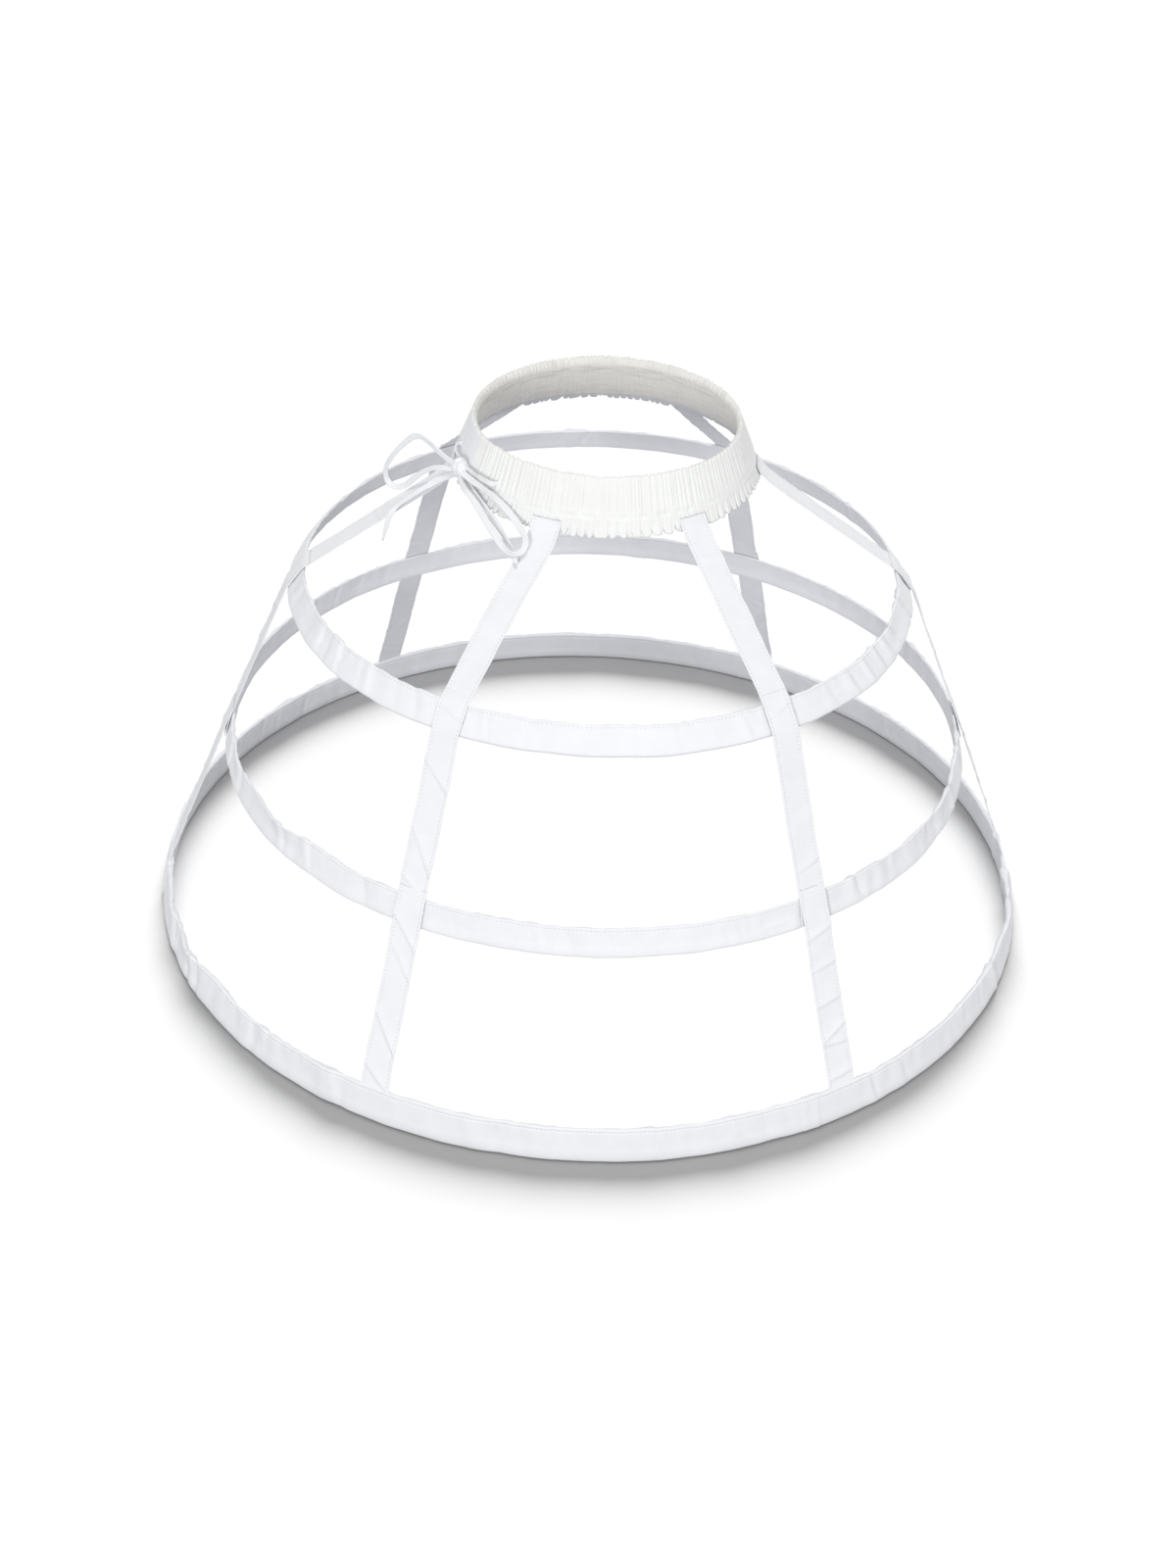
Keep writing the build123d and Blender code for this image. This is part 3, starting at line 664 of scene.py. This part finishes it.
def strip_frame(stations):
    """A strip's centre line through its stations, with the way across it, its face and the length so far."""
    spots = np.array([place_of(s) for s in stations])
    sides = np.array([tuple(Vector((0, 0, 1)).cross(radial(s[2]))) for s in stations])
    runs = np.concatenate([[0], np.cumsum(np.linalg.norm(np.diff(spots, axis=0), axis=1))])
    length = np.linspace(0, runs[-1], max(24, int(runs[-1] / STRIP_STEP)))
    line = smooth_line(np.stack([np.interp(length, runs, spots[:, k]) for k in range(3)], -1))
    side = unit_rows(np.stack([np.interp(length, runs, sides[:, k]) for k in range(3)], -1))
    face = unit_rows(np.cross(side, -unit_rows(np.gradient(line, axis=0))))
    if float((face[0] * np.array(tuple(radial(stations[0][2])))).sum()) < 0:
        face = -face
    return line, side, face, length


def strip_relief(s, t, length, folds, seed, hooked):
    """Puckers and slanting folds of a strip, in millimetres, over its length share s and width share t."""
    run = length[-1]
    puckers = smooth_noise(s * 0.97, max(6, int(run / (4.5 * MM))), seed) * np.abs(t) ** 3
    puckers = puckers + smooth_noise(s * 0.97, max(6, int(run / (6.0 * MM))), seed + 1) * t * 0.5
    relief = 0.32 * puckers + 0.35 * smooth_noise(s * 0.95 + 0.04 * t, 9, seed + 2)
    for centre, slant, wide, high in folds:
        spot = (s - centre) * run / MM - slant * t * TAPE_WIDTH / 2 / MM
        fold = np.where(spot < 0, np.exp(spot / wide), np.exp(-((spot / FOLD_DROP_MM) ** 2)))
        relief = relief + FOLD_GAIN * high * fold * (0.8 + 0.2 * np.cos(t * 2.2 + seed))
    ends = np.clip(np.minimum(length, run - length) / STRIP_END, 0, 1)[:, None]
    ends = ends * ends * (3 - 2 * ends)
    if hooked:
        seated = np.clip(1.4 - np.abs(length - run + 12 * MM) / (16 * MM), 0, 1)[:, None]
        ends = ends * (1 - 0.75 * seated)
    return np.maximum(relief * ends, -0.1)


def ridge(across, place, wide, high):
    """A soft ridge on each side of a middle line."""
    return high * np.exp(-(((np.abs(across) - place) / wide) ** 2))


def strip_mesh(name, stations, folds, seed, shift, hooked):
    """One strip: a thin slab with turned edges, a stitch line beside each, small puckers and slanting folds."""
    line, side, face, length = strip_frame(stations)
    share = length / length[-1]
    half = TAPE_WIDTH / 2
    across = np.concatenate([STRIP_ACROSS, -STRIP_ACROSS[-2::-1]])
    skin = 0.5 + 0.5 * np.clip((1 - np.abs(across)) / EDGE_ROUNDING, 0, 1)
    hem = ridge(across, *TURNED_EDGE) - ridge(across, *STITCH_LINE)
    s, t = np.meshgrid(share, across, indexing="ij")
    relief = strip_relief(s, t, length, folds, seed, hooked)
    thin = np.clip(length / (2.5 * MM), 0, 1)[:, None]
    wide = half * (1 + 0.022 * smooth_noise(share * 0.97, 11, seed + 3))
    slip = (shift + 0.5 * smooth_noise(share * 0.97, 5, seed + 4)) * MM
    base = line[:, None, :] + side[:, None, :] * ((t * wide[:, None]) + slip[:, None])[..., None]
    top = TAPE_THICKNESS * (0.5 + 0.5 * skin)[None, :] * (0.3 + 0.7 * thin) + (relief + hem[None, :] * thin) * MM
    bottom = TAPE_THICKNESS * (0.5 - 0.5 * skin)[None, :] + np.maximum(relief, 0) * 0.8 * MM
    outer = base + face[:, None, :] * top[..., None]
    inner = base + face[:, None, :] * bottom[..., None]
    points = np.concatenate([outer, inner[:, ::-1, :]], axis=1)
    flat = np.stack(np.meshgrid(length, across * half, indexing="ij"), -1)
    uv = np.concatenate([flat, flat[:, ::-1]], axis=1)
    return grid_mesh(name, points, False, True, uv, caps=True), length[-1]


def place_of(station):
    radius, height, azimuth, lift, tilt = station
    return tuple(place_at(azimuth, radius, height) + place_at(azimuth, math.cos(tilt), math.sin(tilt)) * lift)


def make_tape(node, hoop_azimuth, band_azimuth, seed):
    strips = tape_strips(hoop_azimuth, band_azimuth)
    folds = {"tape_front_left": FRONT_LEFT_FOLDS, "tape_front_right": FRONT_RIGHT_FOLDS}.get(node, FOLDS)
    slips = np.random.RandomState(seed).uniform(-0.7, 0.7, 3)
    parts, total = [], 0.0
    for k, (key, stations) in enumerate(strips.items()):
        mesh, length = strip_mesh(node, stations, folds[key], seed * 7 + k, slips[k], key != "lower")
        parts.append(mesh)
        total += length
    tape = join("cloth_" + node, parts)
    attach(tape, "root")
    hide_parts(node)
    return tape


tapes = [make_tape(node, *row) for node, row in TAPES.items()]

# Waistband cloth: counts of its gathers on the ruffle, above it, finer ones and on the inner side
PLEATS = 104
CREASES = 178
FINE_CREASES = 250
INNER_CREASES = 200
BAND_AROUND = 1800
# its height and length laid flat, and its length over the gathers, for the weave
BAND_UV_LENGTH = 660 * MM
STITCH_SHARE = (STITCH_HEIGHT - RUFFLE_HEIGHT) / (RIM_HEIGHT - RUFFLE_HEIGHT)
PLEAT_DEPTH_MM = 3.0
FLUTE_DEPTH_MM = 2.4
# its stitch line and the shoulders beside it: place, width and height, and the calm cloth's width
LINE_DIP_MM = (0.0, 0.8, 0.6)
SHOULDERS_MM = (1.9, 1.2, 0.75)
CALM_WIDE_MM = 2.2
# its lower edge: the gaps between the teeth and the teeth's reach, and its rim: the creases' rise
TOOTH_GAP_MM = 5.6
TOOTH_REACH_MM = 0.9
RIM_CREASE_MM = 1.4
RIM_FINE_MM = 0.9
# its slope: the share that the teeth take, and where the rim's creases start
DROOP_SHARE = 0.12
TIP_SHARE = 0.93
# Azimuth and half width of the nearly smooth stretch behind the bow, and of the calmer one at the right
SMOOTH_STRETCH = (190, 16.0)
CALM_STRETCH = (322, 24.0)
TAPE_HALF_ANGLE = 7.5


def pleat_wave(turn, count, seed):
    """Rounded crests parted by sharp valleys, from 0 in a valley to 1 on a crest, unevenly spaced."""
    drift = 0.9 * smooth_noise(turn, count // 3, seed) + 0.5 * smooth_noise(turn, count, seed + 1)
    phase = turn * count + drift
    return np.abs(np.sin(phase * math.pi)) ** 0.55


class Gathers:
    """How the waistband's cloth is gathered, round the band."""

    def __init__(self, turn):
        self.pleats = pleat_wave(turn, PLEATS, 41)
        self.creases = pleat_wave(turn, CREASES, 43)
        self.finer = pleat_wave(turn, FINE_CREASES, 45)
        self.inside = pleat_wave(turn, INNER_CREASES, 47)
        calm = np.exp(-(nearness(turn, *CALM_STRETCH) ** 4))
        self.strength = (0.75 + 0.25 * smooth_noise(turn, 37, 49)) * (1 - 0.45 * calm)
        self.crest_height = 0.6 + 0.4 * smooth_noise(turn, PLEATS, 50)
        self.stitch_wander = 1.2 * smooth_noise(turn, 22, 51) + 0.6 * smooth_noise(turn, 90, 52)
        self.puff = smooth_noise(turn, 150, 53)
        self.edge_drop = 0.8 * smooth_noise(turn, PLEATS, 54)
        self.rim_wander = 0.5 * smooth_noise(turn, 60, 55)
        self.smooth_gap = np.exp(-(nearness(turn, *SMOOTH_STRETCH) ** 4))
        self.under_tape = np.zeros(len(turn))
        for _, azimuth, _ in TAPES.values():
            gap = np.abs(nearness(turn, azimuth, 1.0))
            self.under_tape = np.maximum(self.under_tape, np.clip((TAPE_HALF_ANGLE - gap) / 1.5, 0, 1))


def outer_inset(cloth, share, below, above, tip):
    """How far in from the crests the band's outer side lies, in millimetres."""
    line = (share - STITCH_SHARE) * BAND_LENGTH / MM - cloth.stitch_wander * 0.5
    flat = 1 - ridge(line, 0.0, CALM_WIDE_MM, 0.8)
    swell = 0.7 + 0.9 * math.sin(math.pi * min(1, above * 0.9 + 0.1))
    depth = PLEAT_DEPTH_MM * below**0.8 * (1 - cloth.pleats) * cloth.strength * (1 - 0.85 * cloth.under_tape)
    depth = depth + swell * (1 - cloth.creases) * cloth.strength
    depth = depth * flat + 0.3 * (1 - cloth.finer) * (1 - below)
    depth = depth + ridge(line, *LINE_DIP_MM) * (1 - cloth.puff)
    depth = depth - ridge(line, *SHOULDERS_MM) * (0.45 + 0.55 * cloth.puff)
    depth = depth - 0.4 * cloth.puff * (1 - flat)
    depth = depth * (1 - 0.75 * cloth.smooth_gap * (above > 0)) + 0.5 * tip * (1 - cloth.creases)
    return np.maximum(depth, 0.05)


def inner_inset(cloth, below, tip):
    """The same for its inner side."""
    wall = BAND_THICKNESS / MM * (1 - below) + RUFFLE_THICKNESS / MM * below
    flute = FLUTE_DEPTH_MM * below**0.8 * (1 - cloth.pleats) * cloth.strength
    inset = wall + flute * 0.9 - 0.45 * (1 - cloth.inside) * (1 - below) - 0.5 * tip * (1 - cloth.creases)
    return inset - 0.55 * tip * wall


def band_row(cloth, side, share):
    """Distance up the band's slope and inset of one row of its mesh, in millimetres."""
    below = max(0.0, 1 - share / STITCH_SHARE)
    above = max(0.0, (share - STITCH_SHARE) / (1 - STITCH_SHARE))
    tip = min(1.0, max(0.0, (share - TIP_SHARE) / (1 - TIP_SHARE))) ** 1.5
    inset = outer_inset(cloth, share, below, above, tip) if side > 0 else inner_inset(cloth, below, tip)
    droop = max(0.0, (DROOP_SHARE - share) / DROOP_SHARE)
    gaps = TOOTH_GAP_MM * (1 - cloth.pleats) ** 1.5
    teeth = gaps - TOOTH_REACH_MM * cloth.pleats * cloth.crest_height - 0.6 * cloth.edge_drop
    fringe = RIM_CREASE_MM * (cloth.creases - 0.5) + RIM_FINE_MM * (cloth.finer - 0.7) + cloth.rim_wander
    return share * BAND_LENGTH / MM + droop * teeth + tip * fringe, inset


def make_waistband():
    turn = np.arange(BAND_AROUND) / BAND_AROUND
    angle = turn * 2 * math.pi
    cloth = Gathers(turn)
    outer_shares = np.concatenate([np.linspace(0, STITCH_SHARE, 13)[:-1], np.linspace(STITCH_SHARE, 1, 17)])
    inner_shares = np.concatenate([np.linspace(1, STITCH_SHARE, 11)[:-1], np.linspace(STITCH_SHARE, 0, 9)])
    rows, uv = [], []
    for side, shares in ((1, outer_shares), (-1, inner_shares)):
        for share in shares:
            up, inset = band_row(cloth, side, share)
            radius = RUFFLE_RADIUS - up * MM * math.sin(BAND_LEAN) - inset * MM * math.cos(BAND_LEAN)
            height = RUFFLE_HEIGHT + up * MM * math.cos(BAND_LEAN) - inset * MM * math.sin(BAND_LEAN)
            rows.append(np.stack([radius * np.cos(angle), radius * np.sin(angle), height], -1))
            uv.append(np.stack([turn * BAND_UV_LENGTH, np.full(BAND_AROUND, share * BAND_LENGTH)], -1))
    band = link("cloth_waistband", grid_mesh("waistband", np.array(rows), True, True, np.array(uv)))
    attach(band, "root")
    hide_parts("waistband")
    return band


waistband = make_waistband()


# Materials: the cloth's mottling and slubs (humps in a metre, detail), the mottling's depth and darkest tone
MOTTLE = (75.0, 4.0)
SLUBS = (900.0, 2.0)
MOTTLE_SHADE = (0.07, 0.965)
# Outward share of a face's normal where painted shade of the inner side starts, and where it is full
FACING = (0.15, -0.35)
# Stitches: distance from their line where a mark starts and is full, gaps, painted shade (darkness, colour), depth
STITCH_EDGE = (0.45 * MM, 0.15 * MM)
STITCH_DASH = -0.55
STITCH_DARK = 0.28
STITCH_HOLE_SHADE = (0.25, 0.26, 0.3)
STITCH_SINK = 2.0
# Waistband: stretch along it that is cooler in the photo, and its fade
COOL_STRETCH = (0.316, 0.378)
COOL_FADE = 12 * MM
COOL_COLOUR = (0.84, 0.85, 0.875)
# its ruffle, up to this place on the slope, with painted shade where seen from the inside
RUFFLE_TOP = 6.5 * MM
RUFFLE_INNER_SHADE = (0.68, 0.695, 0.73)
# and the greyer streaks inside: humps in a metre, range, line below the rim, fade and depth
STREAKS = (55.0, 330.0, 1.0)
STREAK_RANGE = (0.42, 0.68)
STREAK_LINE = 33.5 * MM
STREAK_FADE = (6 * MM, 2 * MM)
STREAK_DEPTH = (0.45, 0.22)
STREAK_COLOUR = (0.55, 0.545, 0.52)


class Graph:
    """A node tree, with short calls that add its nodes and feed their inputs."""

    def __init__(self, tree):
        self.nodes = tree.nodes
        self.links = tree.links

    def feed(self, socket, value):
        if isinstance(value, bpy.types.NodeSocket):
            self.links.new(value, socket)
        elif socket.type == "RGBA":
            socket.default_value = (*value, 1.0)
        else:
            socket.default_value = value

    def add(self, kind, inputs=None, **settings):
        node = self.nodes.new("ShaderNode" + kind)
        for key, value in settings.items():
            setattr(node, key, value)
        for key, value in (inputs or {}).items():
            self.feed(node.inputs[key], value)
        return node.outputs

    def math(self, operation, *values):
        return self.add("Math", dict(enumerate(values)), operation=operation)[0]

    def times(self, *values):
        return self.math("MULTIPLY", *values)

    def vector(self, operation, inputs):
        return self.add("VectorMath", inputs, operation=operation)

    def mix(self, factor, low, high):
        return self.add("Mix", {0: factor, 6: low, 7: high}, data_type="RGBA")[2]

    def ramp(self, value, start, end, **settings):
        """From 0 at the start to 1 at the end."""
        return self.add("MapRange", {"Value": value, "From Min": start, "From Max": end}, **settings)["Result"]

    def noise(self, place, scale, detail=2.0):
        return self.add("TexNoise", {"Vector": place, "Scale": scale, "Detail": detail})["Fac"]

    def surface(self, height, strength, distance, looks):
        """A surface with small relief, sent to the output."""
        bump = self.add("Bump", {"Height": height, "Strength": strength, "Distance": distance})
        shader = self.add("BsdfPrincipled", {**looks, "Normal": bump["Normal"]})
        self.add("OutputMaterial", {"Surface": shader[0]})


def new_material(name):
    material = bpy.data.materials.new(name)
    material.use_nodes = True
    material.node_tree.nodes.clear()
    return material, Graph(material.node_tree)


def inward_share(graph):
    """1 where the surface faces in towards the cage's axis and takes the painted shade, 0 where it faces out."""
    geometry = graph.add("NewGeometry")
    flat = graph.vector("MULTIPLY", {0: geometry["Position"], 1: (1, 1, 0)})[0]
    unit = graph.vector("NORMALIZE", {0: flat})[0]
    facing = graph.vector("DOT_PRODUCT", {0: unit, 1: geometry["True Normal"]})["Value"]
    return graph.ramp(facing, *FACING)


def tint_band(graph, tone, inward, along, up):
    """The waistband's cooler stretch, painted shade on the inner side of its ruffle, and the streaks inside its rim.
    """
    start, end = COOL_STRETCH
    rise = graph.ramp(along, start, start + COOL_FADE, interpolation_type="SMOOTHSTEP")
    fall = graph.ramp(along, end, end - COOL_FADE, interpolation_type="SMOOTHSTEP")
    cool = graph.times(graph.times(rise, fall), graph.math("SUBTRACT", 1.0, inward))
    tone = graph.mix(cool, tone, COOL_COLOUR)
    # painted shade on the inner side of the ruffle
    ruffle = graph.math("LESS_THAN", up, RUFFLE_TOP)
    tone = graph.mix(graph.times(ruffle, inward), tone, RUFFLE_INNER_SHADE)
    stretched = graph.vector("MULTIPLY", {0: graph.add("TexCoord")["UV"], 1: STREAKS})[0]
    patchy = graph.ramp(graph.noise(stretched, 1.0, 3.0), *STREAK_RANGE)
    off_line = graph.math("ABSOLUTE", graph.math("SUBTRACT", up, STREAK_LINE))
    depth = graph.math("MULTIPLY_ADD", graph.ramp(off_line, *STREAK_FADE), *STREAK_DEPTH)
    streaked = graph.times(graph.times(depth, patchy), inward)
    return graph.mix(streaked, tone, STREAK_COLOUR)


def sew(graph, along, over, tone, height, centre, spacing):
    """A line of stitches: dashes sunk into the cloth and darker than it with painted shade."""
    gap = graph.math("ABSOLUTE", graph.math("SUBTRACT", graph.math("ABSOLUTE", over), centre))
    dash = graph.math("SINE", graph.times(along, 2 * math.pi / spacing))
    mark = graph.times(graph.ramp(gap, *STITCH_EDGE), graph.math("LESS_THAN", dash, STITCH_DASH))
    # painted shade in the stitch holes
    tone = graph.mix(graph.times(mark, STITCH_DARK), tone, STITCH_HOLE_SHADE)
    return tone, graph.math("SUBTRACT", height, graph.times(mark, STITCH_SINK))


def cloth_material(
    name, colour, shaded_inner_colour, weave_per_m=1500, weave_depth=0.25, sheen=0.15, stitches=None, tint=None
):
    """Plain-woven cotton: a fine weave, soft mottling and a stitch line (its place, its spacing) beside the edge."""
    material, graph = new_material(name)
    place = graph.add("TexCoord")
    spot = graph.add("SeparateXYZ", {0: place["UV"]})
    along, over = spot["X"], spot["Y"]
    inward = inward_share(graph)
    # painted shade: faces turned in towards the axis get the darker inner colour
    tone = graph.mix(inward, colour, shaded_inner_colour)
    if tint:
        tone = tint(graph, tone, inward, along, over)
    shade = graph.math("MULTIPLY_ADD", graph.noise(place["Object"], *MOTTLE), *MOTTLE_SHADE)
    tone = graph.vector("SCALE", {0: tone, "Scale": shade})[0]
    warp = graph.math("SINE", graph.times(along, weave_per_m * 2 * math.pi))
    weft = graph.math("SINE", graph.times(over, weave_per_m * 2 * math.pi))
    weave = graph.times(graph.times(warp, weft), weave_depth)
    height = graph.math("ADD", weave, graph.noise(place["Object"], *SLUBS))
    if stitches:
        tone, height = sew(graph, along, over, tone, height, *stitches)
    looks = {"Base Color": tone, "Roughness": 0.92, "Specular IOR Level": 0.2}
    graph.surface(height, 0.35, 0.3 * MM, {**looks, "Sheen Weight": sheen, "Sheen Roughness": 0.5})
    return material


def plain_material(name, colour, roughness, metallic=0.0, brushed=0.0):
    material, graph = new_material(name)
    grain = graph.noise(graph.add("TexCoord")["Object"], 400.0)
    looks = {"Base Color": colour, "Roughness": roughness, "Metallic": metallic}
    graph.surface(grain, 0.1 + brushed, 0.1 * MM, looks)
    return material


def paint(piece, material):
    piece.data.materials.clear()
    piece.data.materials.append(material)


# Each cloth's second colour is painted shade for its inward-facing side
CASING_COLOUR_AND_SHADE = ((0.838, 0.846, 0.868), (0.77, 0.778, 0.81))
casing_cloth = cloth_material("casing_cloth", *CASING_COLOUR_AND_SHADE, stitches=(20.3 * MM, 3.2 * MM))
bottom_cloth = cloth_material("bottom_cloth", *CASING_COLOUR_AND_SHADE, stitches=(24.3 * MM, 3.2 * MM))
tape_cloth = cloth_material("tape_cloth", (0.840, 0.848, 0.870), (0.74, 0.75, 0.785), stitches=(9 * MM, 3 * MM))
band_cloth = cloth_material("band_cloth", (0.855, 0.865, 0.85), (0.79, 0.78, 0.745), weave_depth=0.2, tint=tint_band)
ribbon_cloth = cloth_material("ribbon_cloth", (0.86, 0.87, 0.89), (0.82, 0.83, 0.86), weave_per_m=2200, sheen=0.3)
boning_skin = plain_material("boning_skin", (0.80, 0.80, 0.78), 0.5)
sleeve_metal = plain_material("sleeve_metal", (0.62, 0.62, 0.63), 0.35, metallic=1.0, brushed=0.3)
elastic_cloth = cloth_material("elastic_cloth", (0.8, 0.8, 0.8), (0.8, 0.8, 0.8))

for name, casing in casings.items():
    paint(casing, bottom_cloth if name == "bottom" else casing_cloth)
for tape in tapes:
    paint(tape, tape_cloth)
for piece in (*ties, drawcord, knot):
    paint(piece, ribbon_cloth)
paint(waistband, band_cloth)
for name in ("top", "middle", "bottom"):
    paint(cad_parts[name + "_hoop_bone"], boning_skin)
    paint(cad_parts[name + "_bone_joiner"], sleeve_metal)
paint(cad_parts["waist_elastic"], elastic_cloth)

# Floor: white, with the soft shadow of the bottom hoop
FLOOR_SIZE = 14.0
FLOOR_DROP = 0.6 * MM
FLOOR_COLOUR = (0.34, 0.34, 0.35)
FLOOR_SEEN_COLOUR = (0.650, 0.650, 0.650)
# Lamps: azimuth and height in degrees, strength, and width in degrees
LAMPS = {
    "top_light": (282, 66, 0.95, 16),
    "front_light": (250, 10, 1.15, 14),
    "back_light": (75, 28, 0.9, 14),
    "side_light": (345, 14, 0.25, 20),
}
FLOOR_LAMP = (86, 34, 5.8, 36)
WORLD_LIGHT = 0.55
WORLD_SEEN = 1.0


def make_floor():
    mesh = bpy.data.meshes.new("floor")
    half = FLOOR_SIZE / 2
    mesh.from_pydata([(-half, -half, 0), (half, -half, 0), (half, half, 0), (-half, half, 0)], [], [(0, 1, 2, 3)])
    floor = link("floor", mesh)
    material, graph = new_material("floor")
    tone = graph.mix(graph.add("LightPath")["Is Camera Ray"], FLOOR_COLOUR, FLOOR_SEEN_COLOUR)
    graph.add("OutputMaterial", {"Surface": graph.add("BsdfDiffuse", {"Color": tone})[0]})
    paint(floor, material)
    floor.location.z = -FLOOR_DROP
    return floor


def make_sun(name, azimuth, elevation, strength, width, receivers, blockers):
    """A distant lamp that lights only the receivers, and is shaded only by the blockers."""
    lamp = bpy.data.lights.new(name, "SUN")
    lamp.energy = strength
    lamp.angle = math.radians(width)
    sun = link(name, lamp)
    away = place_at(azimuth, math.cos(math.radians(elevation)), math.sin(math.radians(elevation)))
    sun.rotation_mode = "QUATERNION"
    sun.rotation_quaternion = away.to_track_quat("Z", "Y")
    for role, members in (("receiver_collection", receivers), ("blocker_collection", blockers)):
        group = bpy.data.collections.new(name + "_" + role)
        for piece in members:
            group.objects.link(piece)
        setattr(sun.light_linking, role, group)


def make_world():
    """White all round, and weaker as a light than where it is seen."""
    world = bpy.data.worlds.new("world")
    bpy.context.scene.world = world
    world.use_nodes = True
    graph = Graph(world.node_tree)
    ray = graph.add("LightPath")
    glimpsed = graph.math("MAXIMUM", ray["Is Glossy Ray"], ray["Is Transmission Ray"])
    seen = graph.math("MAXIMUM", ray["Is Camera Ray"], glimpsed)
    strength = graph.add("MapRange", {"Value": seen, "To Min": WORLD_LIGHT, "To Max": WORLD_SEEN})["Result"]
    sky = graph.nodes["Background"]
    graph.feed(sky.inputs["Strength"], strength)
    graph.feed(sky.inputs["Color"], (1, 1, 1))


floor = make_floor()
dressed = [*ties, drawcord, knot, waistband, *tapes, *casings.values()]
for name, lamp in LAMPS.items():
    make_sun(name, *lamp, dressed, dressed)
make_sun("floor_light", *FLOOR_LAMP, [floor], [casings["bottom"]])
make_world()
bpy.context.scene.view_settings.view_transform = "Standard"
